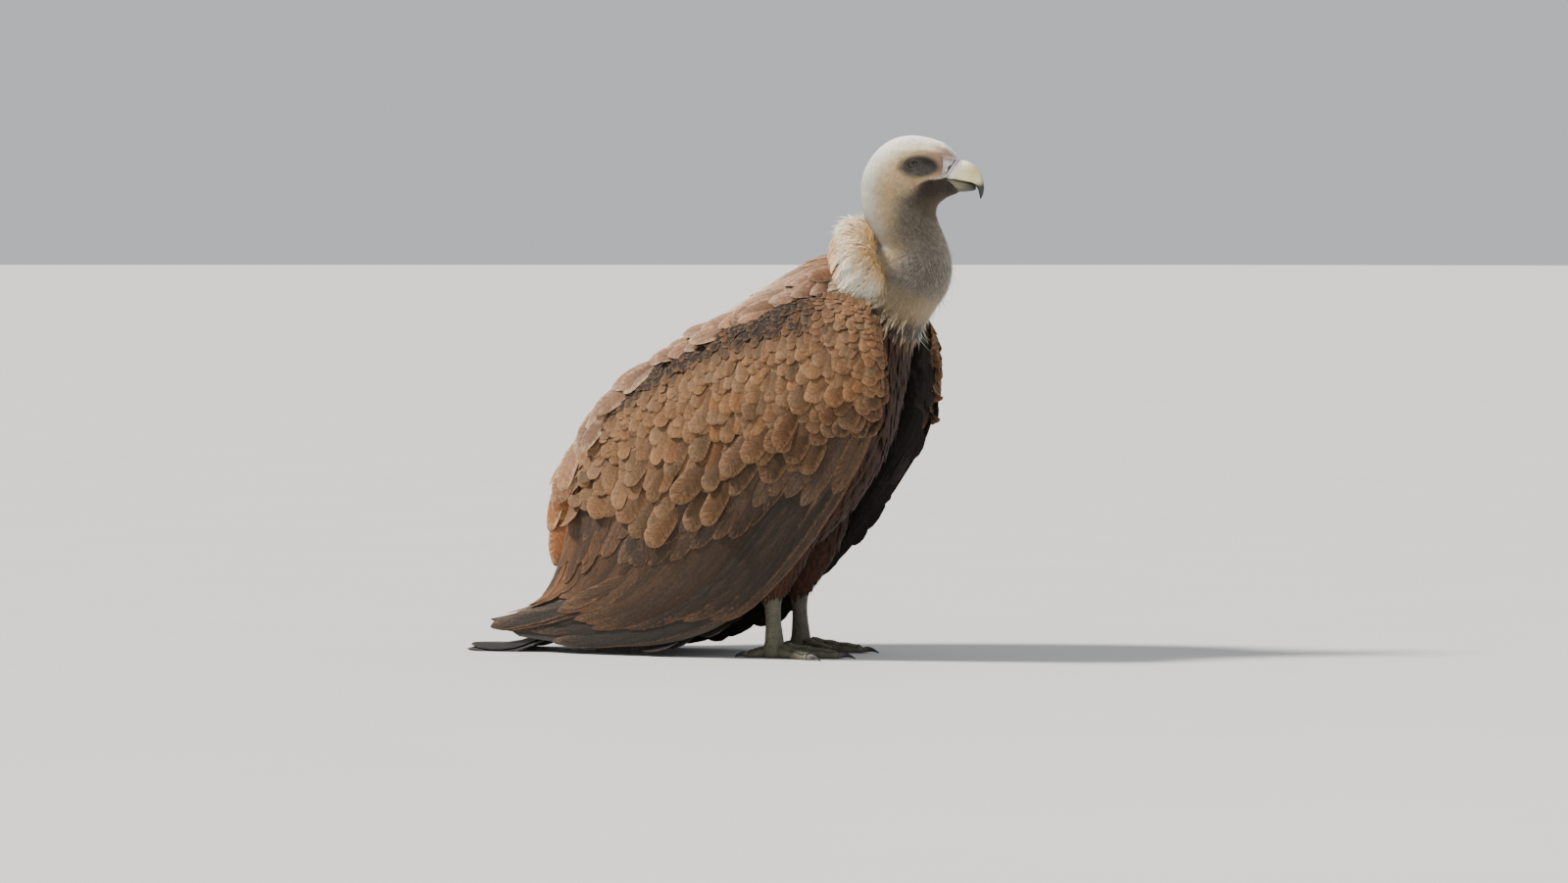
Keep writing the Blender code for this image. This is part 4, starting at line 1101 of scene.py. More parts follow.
def body_skin():
    """The skin from the base of the bill to the rump, with its rings closest together at the eyes."""
    face = crowded(-1.35, NAPE, 196, [EYE_STATION], 1.1, 3.0)
    a = np.concatenate([face, np.linspace(NAPE, TAIL_BASE, 80)[1:]])
    b = crowded(0, 2 * np.pi, 211, [EYE_LEAN, 2 * np.pi - EYE_LEAN], 0.30, 3.0)[:-1]
    a, b = np.meshgrid(a, b, indexing="ij")
    flat, normal, _, _ = frame_at(body_flat, a, b)
    flat = flat - normal * skin_depth(a, b)[..., None]
    marks = body_marks(a, b)
    at_side = np.abs(flat[..., 1]) > 0.012
    _, _, oval = eye_oval(flat)
    marks = blend(marks, LID_GREY, 0.75 * hump(oval - 1.17, 0.11) * at_side)
    marks = blend(marks, PATCH_DARK, 0.45 * hump(oval - 1.36, 0.08) * at_side)
    marks = blend(marks, LID_GREY, 0.30 * hump(oval - 1.56, 0.11) * at_side)
    marks = blend(marks, HORN_DARK, 0.9 * ramp(1.05, 0.99, oval) * at_side)
    x, z = flat[..., 0], flat[..., 2]
    off_middle = np.abs(flat[..., 1]) > 0.008
    wrinkle = hump(gape_distance(x, z), 0.0012) * off_middle * ramp(0.2095, 0.2070, x)
    marks = blend(marks, blend(PINK, CERE_PALE, ramp(0.185, 0.196, x)), 0.85 * wrinkle)
    # painted shadow along the line of the mouth
    mouth = hump(gape_distance(x, z + MOUTH_BELOW), 0.0009) * ramp(0.172, 0.186, x)
    marks = blend(marks, PATCH_DARK * 0.6, 0.85 * mouth * off_middle)
    return tube(turn_head(with_lids(flat)), marks * 0.95, (0.0, 0.0, 1.0, 0.55))


def slab_skin(outer, inner, rows, columns, marks, box, mirror=False, under=0.6):
    """A thin skin as a tube: across its outer face and back across its inner face.

    under is the inner face's share of the outer face's colour: painted shade on the inner face.
    """
    a, b = np.meshgrid(rows, columns, indexing="ij")
    rings = np.concatenate([outer(a, b), inner(a, b)[:, ::-1]], axis=1)
    colour = marks(a, b)
    colour = np.concatenate([colour, colour[:, ::-1] * under], axis=1)
    if mirror:
        rings = rings * [1, -1, 1]
    return tube(rings, colour, box)


def wing_skin(side, box):
    """The wing's skin, thinner than the wing by the feathers on both faces."""
    def thinned(share):
        """The wing's face at share of its thickness, drawn in by 4 mm of feathers where it can."""
        def face(a, b):
            """The face's point at (a, b)."""
            thick = wing_thickness(a, b)
            kept = np.maximum(thick - 0.0040, 0.35 * thick) / thick
            return wing_offset(a, b, share * kept)

        return face

    rows = np.concatenate([np.linspace(0.004, 0.12, 14), np.linspace(0.12, 0.97, 46)[1:]])
    columns = 0.5 - 0.495 * np.cos(np.linspace(0, np.pi, 38))
    outer, inner = thinned(WING_OUTER_SHARE), thinned(WING_OUTER_SHARE - 1)
    # the inner face at 0.07 of the outer colour: painted shade on the wing's side towards the body
    return slab_skin(outer, inner, rows, columns, wing_marks, box, side > 0, 0.07)


def mantle_skin(box):
    """The mantle's skin: a thin roof under its feathers."""
    def face(below):
        """The mantle's surface sunk by below."""
        def level(a, b):
            """The sunk surface's point at (a, b)."""
            point, normal, _, _ = frame_at(mantle, a, b)
            return point - normal * below

        return level

    rows = np.linspace(0.0, 0.97, 44)
    columns = np.linspace(-0.47 * np.pi, 0.47 * np.pi, 36)
    return slab_skin(face(0.0035), face(0.0075), rows, columns, mantle_marks, box)


def tail_skin(box):
    """The tail's skin: a thin tongue between its feathers."""
    def dark(a, b):
        """Near black all over."""
        return np.broadcast_to(NEAR_BLACK, np.shape(a) + (3,))

    rows = np.linspace(0.0, 0.93, 30)
    columns = np.linspace(-0.92, 0.92, 16)
    upper = partial(tail_level, share=0.22)
    under = partial(tail_level, share=0.85)
    return slab_skin(upper, under, rows, columns, dark, box)


def ruff_skin(box):
    """The pad of down under the collar: the ruff's tube, thinner."""
    b, a = np.meshgrid(np.linspace(-RUFF_SWEEP, RUFF_SWEEP, 60), turns(28), indexing="ij")
    point, normal, _, _ = frame_at(ruff, a, b)
    return tube(point - normal * 0.007, ruff_marks(np.minimum(a, 2.0), b) * 0.7, box)


def leg_skin(side, boxes):
    """Thigh, shank with stump, and four toes, each a tube that runs into the next."""
    a, b = np.meshgrid(np.linspace(0, 1, 26), turns(36), indexing="ij")
    point, normal, _, _ = frame_at(thigh_of(side), a, b)
    depth = 0.006 * (1 - ramp(0.75, 1.0, a)) + 0.0005
    marks = blend(BREAST_BROWN_IN_SHADE, BELLY_RUST_IN_SHADE, ramp(0.3, 0.9, a))
    shapes = [tube(point - normal * depth[..., None], marks, boxes[0], 0)]
    a, b = np.meshgrid(np.linspace(0.02, 1, 44), turns(36), indexing="ij")
    shapes.append(tube(tarsus_of(side)(a, b), LEG_OLIVE, boxes[1], 1))
    for number, (bearing, length, radius) in enumerate(TOES.values()):
        a, b = np.meshgrid(np.linspace(0, 1.015, 34), turns(22), indexing="ij")
        left, low, right, high = boxes[2]
        box = (left + (right - left) * number / 4, low, left + (right - left) * (number + 1) / 4, high)
        shapes.append(tube(toe_of(side, bearing, length, radius)(a, b), LEG_OLIVE, box, 1))
    return shapes


def skin(looks):
    """All of the skin as one piece."""
    shapes = [
        body_skin(),
        wing_skin(-1, (0.0, 0.56, 0.25, 0.86)), wing_skin(1, (0.25, 0.56, 0.5, 0.86)),
        mantle_skin((0.5, 0.56, 0.75, 0.80)), tail_skin((0.75, 0.56, 0.87, 0.80)),
        ruff_skin((0.88, 0.56, 1.0, 0.80)),
    ]
    for side, left in ((-1, 0.0), (1, 0.5)):
        shapes += leg_skin(side, (
            (left, 0.87, left + 0.16, 0.99), (left + 0.16, 0.87, left + 0.28, 0.99),
            (left + 0.28, 0.87, left + 0.5, 0.99),
        ))
    piece = make_piece("skin", shapes, looks)
    nodes = ["head", "neck", "crop", "trunk", "ruff", "mantle", "tail"]
    for word in ("right", "left"):
        nodes += [f"thigh_{word}", f"tarsus_{word}", f"foot_{word}", f"wing_{word}_coverts",
                  f"wing_{word}_primaries", f"wing_{word}_secondaries"]
    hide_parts(*nodes)


# ---------------------------------------------------------------- down of head, neck and crop
def bare_share(a, b):
    """1 where the face is bare: round the eye, along the mouth and at the sides of the bill's base."""
    flat = body_flat(a, b)
    x, z = flat[..., 0], flat[..., 2]
    side = ramp(0.4, 0.7, np.abs(np.sin(b)))
    _, _, oval = eye_oval(flat)
    lids = ramp(2.3, 1.7, oval)
    bare = np.maximum(np.maximum(0.55 * face_patch(x, z), lids), hump(gape_distance(x, z), 0.0020)) * side
    return np.maximum(bare, in_bill_room(x, z))


def down_piece(name, low, high, look, seed, density, size, lift, speckle):
    """Short down over a stretch of the body.

    Its density, its length (size) and height (lift) and the strength of its light speckles are
    numbers or functions of (a, b).
    """
    span = ((low, 0.0), (high, 2 * np.pi))
    draw = Draws(seed)
    roots = draw.over(body, span, density)
    a, b = roots.T
    length = value_at(size, a, b) * draw.between(0.65, 1.35)
    turn = draw.bell(0.38)
    colour = draw.tones(body_marks(a, b), 0.07, 0.03)
    light = 0.55 * draw.chosen(0.30)[:, 0] * value_at(speckle, a, b)
    colour = blend(colour, WHITE, light)
    shape = grow(
        body, DOWN, roots, length, turn, 0.00014 + 0.022 * length, (colour * 0.92, colour * 1.03), span,
        sink=coat_depth(a) + 0.0003, rise=value_at(lift, a, b) * draw.between(0.2, 1.5), camber=0.0,
        thick=0.0003 + 0.03 * length, bend=draw.bell(0.10), curl=draw.bell(0.10),
    )
    make_piece(name, [shape], [look])


def down(look):
    """Fuzz on the head, thicker down on the neck, and close speckled down over the crop."""
    def face_density(a, b):
        """Locks to a square metre, none where the face is bare."""
        return 3600000 * (1 - bare_share(a, b)) * (1 - 0.40 * ramp(4.0, 7.0, a))

    def face_length(a, b):
        """Length, growing towards the neck."""
        return 0.0027 + 0.0028 * ramp(2.5, 6.5, a) - 0.0015 * bare_share(a, b)

    def face_lift(a, b):
        """Height of the tips, most on the forehead."""
        forehead = ramp(1.6, 0.2, a) * ramp(0.5, 0.9, np.cos(b))
        return 0.0004 + 0.0014 * ramp(1.5, 4.5, a) + 0.0022 * forehead

    def face_speckle(a, b):
        """Light speckles, few by the bill."""
        return 0.12 + 0.40 * ramp(0.185, 0.150, body_flat(a, b)[..., 0])

    for word, low, high, seed in (("head", -1.15, 3.9, 11), ("nape", 3.9, NAPE, 15)):
        down_piece(f"down_{word}", low, high, look, seed, face_density, face_length, face_lift,
                   face_speckle)
    down_piece("down_neck", NAPE, NECK_LOW + 0.2, look, 12, density=1900000, size=0.0054,
               lift=0.0016, speckle=0.85)
    down_piece(
        "down_crop", NECK_LOW, CROP_FOOT + 0.8, look, 13,
        density=lambda a, b: 640000 * ramp(0.35, 0.9, np.abs(np.arctan2(np.sin(b), np.cos(b)))),
        size=lambda a, b: 0.0085 + 0.009 * ramp(CROP_FOOT - 0.8, CROP_FOOT + 0.4, a),
        lift=lambda a, b: 0.0016 + 0.0016 * ramp(CROP_FOOT - 1, CROP_FOOT, a),
        speckle=lambda a, b: 0.85 * ramp(CROP_FOOT, CROP_FOOT - 1.5, a),
    )


def crop_filaments(look):
    """Loose pale filaments that stand out from the far side of crop and throat."""
    span = ((NECK_LOW - 1.0, 1.3), (CROP_FOOT + 0.9, 2.7))
    draw = Draws(14)
    roots = draw.over(body, span, lambda a, b: 60000 * ramp(1.2, 2.0, b))
    length = draw.between(0.012, 0.034)
    tone = draw.tones(RUFF_CREAM, 0.08, 0.03)
    shape = grow(
        body, WISP, roots, length, draw.bell(0.5), 0.00045, (tone * 0.8, tone), span, sink=0.004,
        rise=0.002 + 0.011 * draw.between(0, 1) ** 2, camber=0.0, thick=0.0006, curl=draw.bell(0.22),
        bend=draw.bell(0.25),
    )
    make_piece("down_crop_filaments", [shape], [look])


# ---------------------------------------------------------------- trunk, thighs and collar
def breast(look):
    """Lance-shaped feathers over breast, belly and flanks, and softer ones down the thighs."""
    span = ((CROP_FOOT - 0.4, 0.75), (TAIL_BASE - 0.3, 2 * np.pi - 0.75))
    draw = Draws(21)
    roots = draw.over(body, span, lambda a, b: 10500 + 2500 * ramp(CROP_FOOT + 2, CROP_FOOT, a))
    a, b = roots.T
    length = (0.040 + 0.018 * ramp(CROP_FOOT, CROP_FOOT + 5, a)) * draw.between(0.8, 1.2)
    tone = draw.tones(body_marks(a, b), 0.16, 0.05)
    shapes = [grow(
        body, LANCE, roots, length, draw.bell(0.16), length * 0.15, (tone * 0.8, tone * 1.15), span,
        box=(0.01, 0.01, 0.99, 0.7), sink=0.0085, rise=draw.between(0.0, 0.0025), camber=0.25,
        curl=draw.bell(0.03), bend=draw.bell(0.05),
    )]
    for side, left in ((-1, 0.01), (1, 0.51)):
        span = ((0.05, 0.0), (0.93, 2 * np.pi))
        draw = Draws(22 + side)
        roots = draw.over(thigh_of(side), span, lambda a, b: 26000 + 30000 * ramp(0.4, 0.9, a))
        a = roots[:, 0]
        length = (0.036 - 0.018 * ramp(0.3, 0.95, a)) * draw.between(0.8, 1.2)
        tone = draw.tones(blend(BREAST_BROWN_IN_SHADE, BELLY_RUST_IN_SHADE, ramp(0.2, 0.8, a)), 0.2, 0.05)
        shapes.append(grow(
            thigh_of(side), LANCE, roots, length, draw.bell(0.2), length * 0.15, (tone * 0.7, tone * 1.25),
            span, box=(left, 0.72, left + 0.48, 0.99), sink=0.0065, rise=draw.between(0.0, 0.002),
            camber=0.25, curl=draw.bell(0.04),
        ))
    make_piece("feathers_breast", shapes, [look])


def swept(b, turn):
    """Turn the collar's feathers by turn at its sides, less towards the nape, mirrored left and right."""
    return turn * np.sign(b) * ramp(0.3, 1.5, np.abs(b))


def hanging_locks(span):
    """Long pointed lances that hang from the collar's outside, brown-streaked low down."""
    draw = Draws(33)
    outside = ((0.2, span[0][1]), (2.2, span[1][1]))
    roots = draw.over(ruff, outside, lambda a, b: 17000 * ramp(-0.1, -0.6, a - back_hem(b)))
    a, b = roots.T
    length = up_to_hem(roots, draw.between(0.048, 0.078))
    tone = draw.tones(ruff_marks(a, b), 0.12, 0.06)
    streak = draw.chosen(0.25) * ramp(0.7, 1.8, roots[:, :1])
    tone = tone * (1 - 0.55 * streak) + 0.55 * streak * MANTLE_BROWN
    return grow(
        ruff, LANCE, roots, length, swept(b, -0.30) + draw.bell(0.16), length * draw.between(0.060, 0.085),
        (tone * 0.9, tone * 1.04), span, sink=0.002, rise=draw.between(0.0020, 0.0065), camber=0.3,
        curl=draw.bell(0.06), bend=draw.bell(0.12), droop=draw.between(0.004, 0.016),
    )


def top_tuft(span):
    """A few lances that stand up and back from the top of the collar behind the neck."""
    draw = Draws(34, count=130)
    roots = np.stack([draw.between(-0.9, 0.0), draw.between(-1.1, 0.7)], -1)
    length = draw.between(0.016, 0.032)
    tone = draw.tones(blend(RUFF_CREAM, RUFF_TAWNY, 0.25), 0.12, 0.05)
    return grow(
        ruff, LANCE, roots, length, draw.bell(0.45), length * 0.05, (tone * 0.9, tone), span, sink=0.004,
        rise=draw.between(0.004, 0.012), camber=0.3, curl=draw.bell(0.10), bend=draw.bell(0.15),
    )


def collar(look, down_look):
    """The ruff: loose lances from the neck over the collar's tube, with a fleece of wisps on them."""
    span = ((-1.8, -RUFF_SWEEP - 0.05), (2.6, RUFF_SWEEP + 0.05))
    draw = Draws(31)
    roots = draw.over(ruff, span, lambda a, b: 76000 * ramp(0.05, -0.3, a - back_hem(b)))
    a, b = roots.T
    length = up_to_hem(roots, draw.between(0.034, 0.062))
    tone = draw.tones(ruff_marks(a, b), 0.14, 0.06)
    tone = np.where(draw.chosen(0.12), 0.40 * MANTLE_BROWN + 0.50 * tone, tone)
    lances = grow(
        ruff, LANCE, roots, length, swept(b, -0.22) + draw.bell(0.20), length * draw.between(0.050, 0.085),
        (tone * 0.80, tone), span, sink=0.007, rise=draw.between(-0.003, 0.0035), camber=0.3,
        curl=draw.bell(0.05), bend=draw.bell(0.10), droop=draw.between(0.0, 0.012),
    )
    make_piece("feathers_ruff", [lances, hanging_locks(span), top_tuft(span)], [look])
    roots = draw.over(ruff, span, lambda a, b: 260000 * ramp(0.1, -0.3, a - back_hem(b)), 32)
    a, b = roots.T
    length = up_to_hem(roots, draw.between(0.012, 0.028))
    tone = draw.tones(ruff_marks(a, b) * 1.04, 0.12, 0.05)
    fleece = grow(
        ruff, WISP, roots, length, swept(b, -0.22) + draw.bell(0.30), 0.0003 + 0.014 * length,
        (tone * 0.90, tone), span, sink=0.001, rise=0.0010 + 0.0045 * draw.between(0, 1) ** 2, camber=0.0,
        thick=0.0007, curl=draw.bell(0.14), bend=draw.bell(0.16), droop=draw.between(0.0, 0.004),
    )
    make_piece("down_ruff", [fleece], [down_look])


# ---------------------------------------------------------------- back and tail
def back_roots(draw):
    """Roots in staggered rows across the mantle, closer together by the ruff."""
    found = []
    spot = -0.02
    side = 0.52 * np.pi
    while spot < 0.93:
        arc = mantle(np.full(40, spot), np.linspace(-side, side, 40))
        girth = np.linalg.norm(np.diff(arc, axis=0), axis=1).sum()
        half = 0.0085 + 0.0065 * float(ramp(0.0, 0.5, spot))
        draw.count = count = int(girth / (1.25 * half))
        b = (np.arange(count) + 0.5 + 0.5 * (len(found) % 2)) / count * 2 - 1
        b = (b + draw.bell(0.25) / count) * side
        a = spot + draw.bell(0.006)
        found.append(np.stack([a, np.clip(b, -side, side)], -1))
        spot += (0.014 + 0.014 * float(ramp(0.0, 0.6, spot))) / 0.62
    return np.concatenate(found)


def back(look):
    """Broad feathers over the mantle, the longest at the rear end, and smaller ones up to the collar.

    Towards its hem on each side the mantle's feathers stand off further and less evenly.
    """
    draw = Draws(41)
    roots = back_roots(draw)
    draw.count = len(roots)
    a, b = roots.T
    grown = ramp(0.0, 0.6, a)
    length = (0.050 + 0.042 * grown) * draw.between(0.85, 1.15)
    half = (0.0095 + 0.0070 * grown) * draw.between(0.85, 1.15)
    tone = draw.tones(mantle_marks(a, b), 0.18, 0.05)
    hem = ramp(0.85, 1.5, np.abs(b))
    shapes = [grow(
        mantle, BROAD, roots, length, -0.13 * np.sign(b) * hem + draw.bell(0.10), half,
        (tone * 0.55, tone * 1.10), ((-0.05, -1.7), (1.0, 1.7)), box=(0.01, 0.01, 0.99, 0.80), sink=0.0045,
        rise=draw.between(0.0002, 0.0018) + draw.between(0.011, 0.019) * hem, camber=0.14 + 0.12 * hem,
        tilt=draw.bell(0.04 + 0.08 * hem), bend=draw.bell(0.05), curl=draw.bell(0.01 + 0.03 * hem),
    )]
    span = ((0.3, -1.7), (2.0, 1.7))
    roots = draw.over(ruff, span, lambda a, b: 26000 * ramp(-0.30, 0.05, a - back_hem(b)), 42)
    a, b = roots.T
    length = draw.between(0.028, 0.044)
    tone = blend(0.4 * RUFF_TAWNY + 0.5 * MANTLE_PALE, 0.6 * MANTLE_BROWN + 0.35 * MANTLE_PALE,
                 ramp(-0.2, 0.6, a - back_hem(b)))
    tone = draw.tones(tone, 0.22, 0.06)
    shapes.append(grow(
        ruff, CONTOUR, roots, length, draw.bell(0.15), length * draw.between(0.12, 0.20),
        (tone * 0.6, tone * 1.1), span, box=(0.01, 0.82, 0.99, 0.99), sink=0.004,
        rise=draw.between(0.0005, 0.0040), camber=0.25, bend=draw.bell(0.08),
    ))
    make_piece("feathers_back", shapes, [look])


def tail_feathers(look):
    """Twelve tail feathers as a closed fan, the middle ones on top, with coverts over their roots."""
    order = np.array([-5, 5, -4, 4, -3, 3, -2, 2, -1, 1, -0.3, 0.3])
    draw = Draws(51, count=len(order))
    roots = np.stack([np.full(len(order), 0.12), 0.05 * order], -1)
    ends = np.stack([1.0 - 0.006 * order ** 2, 0.165 * order], -1)
    span = ((0, -1), (1, 1))
    shapes = [lay(
        tail, QUILL, roots, ends - roots, 0.0150, draw.tones(NEAR_BLACK, 0.15), span, sink=0.001,
        rise=0.0006 + 0.0022 * (1 - np.abs(order) / 5), camber=0.05, tilt=-0.03 * np.sign(order),
        thick=0.0008,
    )]
    roots = draw.over(tail, ((0.0, -0.9), (0.34, 0.9)), 9000, 52)
    length = draw.between(0.05, 0.075)
    tone = draw.tones(blend(BELLY_RUST_IN_SHADE, NEAR_BLACK, ramp(0.1, 0.35, roots[:, 0])), 0.2)
    shapes.append(grow(
        tail, CONTOUR, roots, length, draw.bell(0.1), 0.010, tone, span, sink=0.002,
        rise=draw.between(0.001, 0.003),
    ))
    make_piece("feathers_tail", shapes, [look])


# ---------------------------------------------------------------- wings
def covert_rows(draw):
    """The coverts, row by row from the shoulder to the covert line: root (a, b), reach, half width
    and how far down the wing the row lies, from 0 to 1.

    Each row is a fixed ratio further from the one before, so the scales of the shoulder lie close
    together and the greater coverts, the last row, show the most of their length.
    """
    rows, growth = 17, 1.11
    ends = np.cumsum(growth ** np.arange(rows))
    ends = np.concatenate([[0.0], ends]) / ends[-1]
    spread = np.linspace(0.0, 1.0, 200)
    found = []
    for row in range(rows):
        share, before = ends[row + 1], ends[row]
        half = 0.0047 + 0.0103 * share
        edge = wing_outer(smooth(COVERT_LINE, spread) * share, spread)
        girth = np.append(0, np.cumsum(np.linalg.norm(np.diff(edge, axis=0), axis=1)))
        draw.count = count = int(girth[-1] / (1.30 * half))
        place = (np.arange(count) + 0.5 * (row % 2) + 0.25 + draw.bell(0.20)) / count
        b = np.interp(np.clip(place, 0.004, 0.985) * girth[-1], girth, spread)
        line = smooth(COVERT_LINE, b)
        step = line * (share - before)
        tip = line * share + draw.bell((0.30 + 0.35 * share) * step)
        run = np.maximum(step * 2.1, 0.022 + 0.020 * share)
        found.append(np.stack([tip - run, b, run, np.full(count, half), np.full(count, share)], -1))
    found = np.concatenate(found)
    under_back = (found[:, 0] + found[:, 2] < 0.030) & (found[:, 1] > 0.45)
    return found[~under_back]


def wing_coverts(side, look):
    """The coverts of one wing as overlapping rows, small as scales at the shoulder."""
    draw = Draws(60 + side)
    rows = covert_rows(draw)
    draw.count = len(rows)
    a, b, run, half, size = rows.T
    reach = np.stack([run, draw.bell(0.014)], -1)
    seen = np.minimum(a + run, smooth(COVERT_LINE, b) - 0.03)
    tone = draw.tones(wing_marks(seen, b), 0.17, 0.05)
    rusty = draw.chosen(0.14) * 0.30
    tone = tone * (1 - rusty) + MANTLE_RUST * rusty
    tone = tone * (1 - 0.50 * ramp(0.62, 1.0, size) * ramp(0.75, 0.35, b))[:, None]
    # roots darker than tips: partly the coverts' own darker bases, partly painted shade under the row above
    marks = (tone * (0.52 - 0.20 * size)[:, None], tone * (1.04 - 0.26 * size)[:, None])
    loose = 0.0070 * ramp(0.45, 1.0, size) * draw.between(0, 1) ** 3
    shape = lay(
        wing_outer, ROUND, rows[:, :2], reach, half * draw.between(0.82, 1.15), marks, ((-0.1, 0), (0.5, 1)),
        sink=0.0035, rise=0.0004 + 0.0034 * size ** 1.5 * draw.between(0.5, 1.5) + loose, camber=0.22,
        tilt=0.06 + draw.bell(0.11 * size), sweep=0.30, curl=draw.bell(0.010 + 0.030 * size),
        bend=draw.bell(0.05), mirror=side > 0,
    )
    make_piece(f"coverts_{WORDS[side]}", [shape], [look])


def flight_feathers(side, look):
    """Primaries, secondaries, the bunch along the rear edge and the coverts over them, on one wing."""
    draw = Draws(70 + side)
    shapes = []

    def quills(b_root, b_tip, a_root, a_tip, half, tone, level, tilt):
        """Long feathers from root to tip, each level high at its tip."""
        roots = np.stack([a_root, b_root], -1)
        ends = np.stack([a_tip, b_tip], -1)
        tone = draw.tones(tone, 0.22, 0.06)
        shapes.append(lay(
            wing_outer, QUILL, roots, ends - roots, half, (tone * 0.8, tone), ((0, 0), (1, 1)), sink=0.0015,
            rise=level, camber=0.10, tilt=tilt, thick=0.0008, bend=draw.bell(0.015), mirror=side > 0,
        ))

    draw.count = 9
    share = np.linspace(0, 1, draw.count)
    tips = 1.0 - 0.10 * (1 - share) ** 1.3
    quills(0.05 + 0.45 * share, 0.16 + 0.55 * share, np.full(draw.count, 0.45), tips,
           0.0115, NEAR_BLACK * 1.3, 0.0002, 0.03)
    draw.count = 21
    share = np.linspace(0, 1, draw.count)
    b = 0.035 + 0.86 * share
    tips = smooth((0.60, 0.76, 0.82, 0.80, 0.76, 0.70), share) + draw.bell(0.012)
    quills(b, b * 0.97 + 0.01, smooth(COVERT_LINE, b) - 0.10, tips, 0.0155 - 0.003 * share,
           blend(QUILL_BROWN, QUILL_RUST, 0.35 * share), 0.0010 + 0.0006 * share, 0.07)
    draw.count = 15
    b = 0.80 + 0.18 * np.linspace(0, 1, draw.count) + draw.bell(0.008)
    tips = draw.between(0.56, 0.97)
    quills(b, np.clip(b + draw.bell(0.03), 0.7, 1.0), 0.22 + 0.10 * draw.between(0, 1), tips,
           draw.between(0.0070, 0.0105), blend(QUILL_BROWN, QUILL_RUST, draw.between(0.3, 1.0)),
           draw.between(0.001, 0.005), 0.10)
    draw.count = 46
    b = draw.between(0.03, 0.93)
    start = smooth(COVERT_LINE, b) - 0.06
    quills(b, b, start, start + draw.between(0.11, 0.19), 0.0135,
           blend(COVERT_DARK, QUILL_BROWN, draw.between(0, 1)), 0.0014 + 0.001 * draw.between(0, 1), 0.06)
    make_piece(f"quills_{WORDS[side]}", shapes, [look])


def wing_lining(side, look):
    """Soft feathers on the wing's face towards the body and round its front edge, near black with painted
    shade.
    """
    span = ((0.0, -0.62), (0.80, 0.0))
    draw = Draws(80 + side)
    roots = draw.over(wing_inner, span, 6500)
    length = draw.between(0.045, 0.070)
    tone = draw.tones(blend(LINING_PAINTED_SHADE * 1.4, LINING_PAINTED_SHADE, ramp(0.1, 0.4, roots[:, 0])), 0.2, 0.04)
    shape = grow(
        wing_inner, CONTOUR, roots, length, draw.bell(0.1), 0.0105, (tone * 0.8, tone), span, sink=0.002,
        rise=draw.between(0.0004, 0.0022), mirror=side > 0,
    )
    make_piece(f"lining_{WORDS[side]}", [shape], [look])


# ---------------------------------------------------------------- bill, eyes, feet
def oval_rings(stations, shares, around, flat_side):
    """Ovals through smoothed stations, squared off on the side where the two halves meet."""
    top, bottom, half = read_stations(stations, shares)
    angle = turns(around)
    rise = np.cos(angle)
    power = np.where(rise * flat_side > 0, 1 / FLAT_POWER, 1.0)
    out = np.sign(np.sin(angle)) * np.sqrt(np.maximum(1 - np.abs(rise) ** (2 * power), 0.0))
    middle = (top + bottom) / 2
    reach = (top - bottom) / 2
    x = middle[:, None, 0] + reach[:, None, 0] * rise
    z = middle[:, None, 1] + reach[:, None, 1] * rise
    return np.stack([x, half[:, None] * out + 0 * x, z], axis=-1)


def cere_folds(x, z):
    """The cere's pale folds and the grooves between them, which are painted dark as shade, each 1 along its
    middle.
    """
    ahead = cere_distance(x, z)
    folds = hump(ahead + 0.0021, 0.0010) + 0.7 * hump(ahead + 0.0062, 0.0010)
    grooves = hump(ahead, 0.0009) + hump(ahead + 0.0042, 0.0010)
    return folds, np.minimum(grooves, 1.0)


def cere_colour(x, z, side, hole):
    """Lilac skin with pale folds and an almost white painted highlight high up, with painted shade in the
    grooves and nostril.
    """
    folds, grooves = cere_folds(x, z)
    colour = blend(CERE_LILAC, CERE_PALE, np.clip(0.9 * folds * side, 0, 1))
    # painted highlight high on the cere
    patch = hump(x - 0.2075, 0.0045) * hump(z - 0.6530, 0.0050)
    colour = blend(colour, CERE_PALE, 0.85 * patch)
    # painted shade in the grooves and the nostril
    return blend(colour, PATCH_DARK, np.clip(0.92 * grooves * side * (1 - 0.6 * patch) + hole, 0, 1))


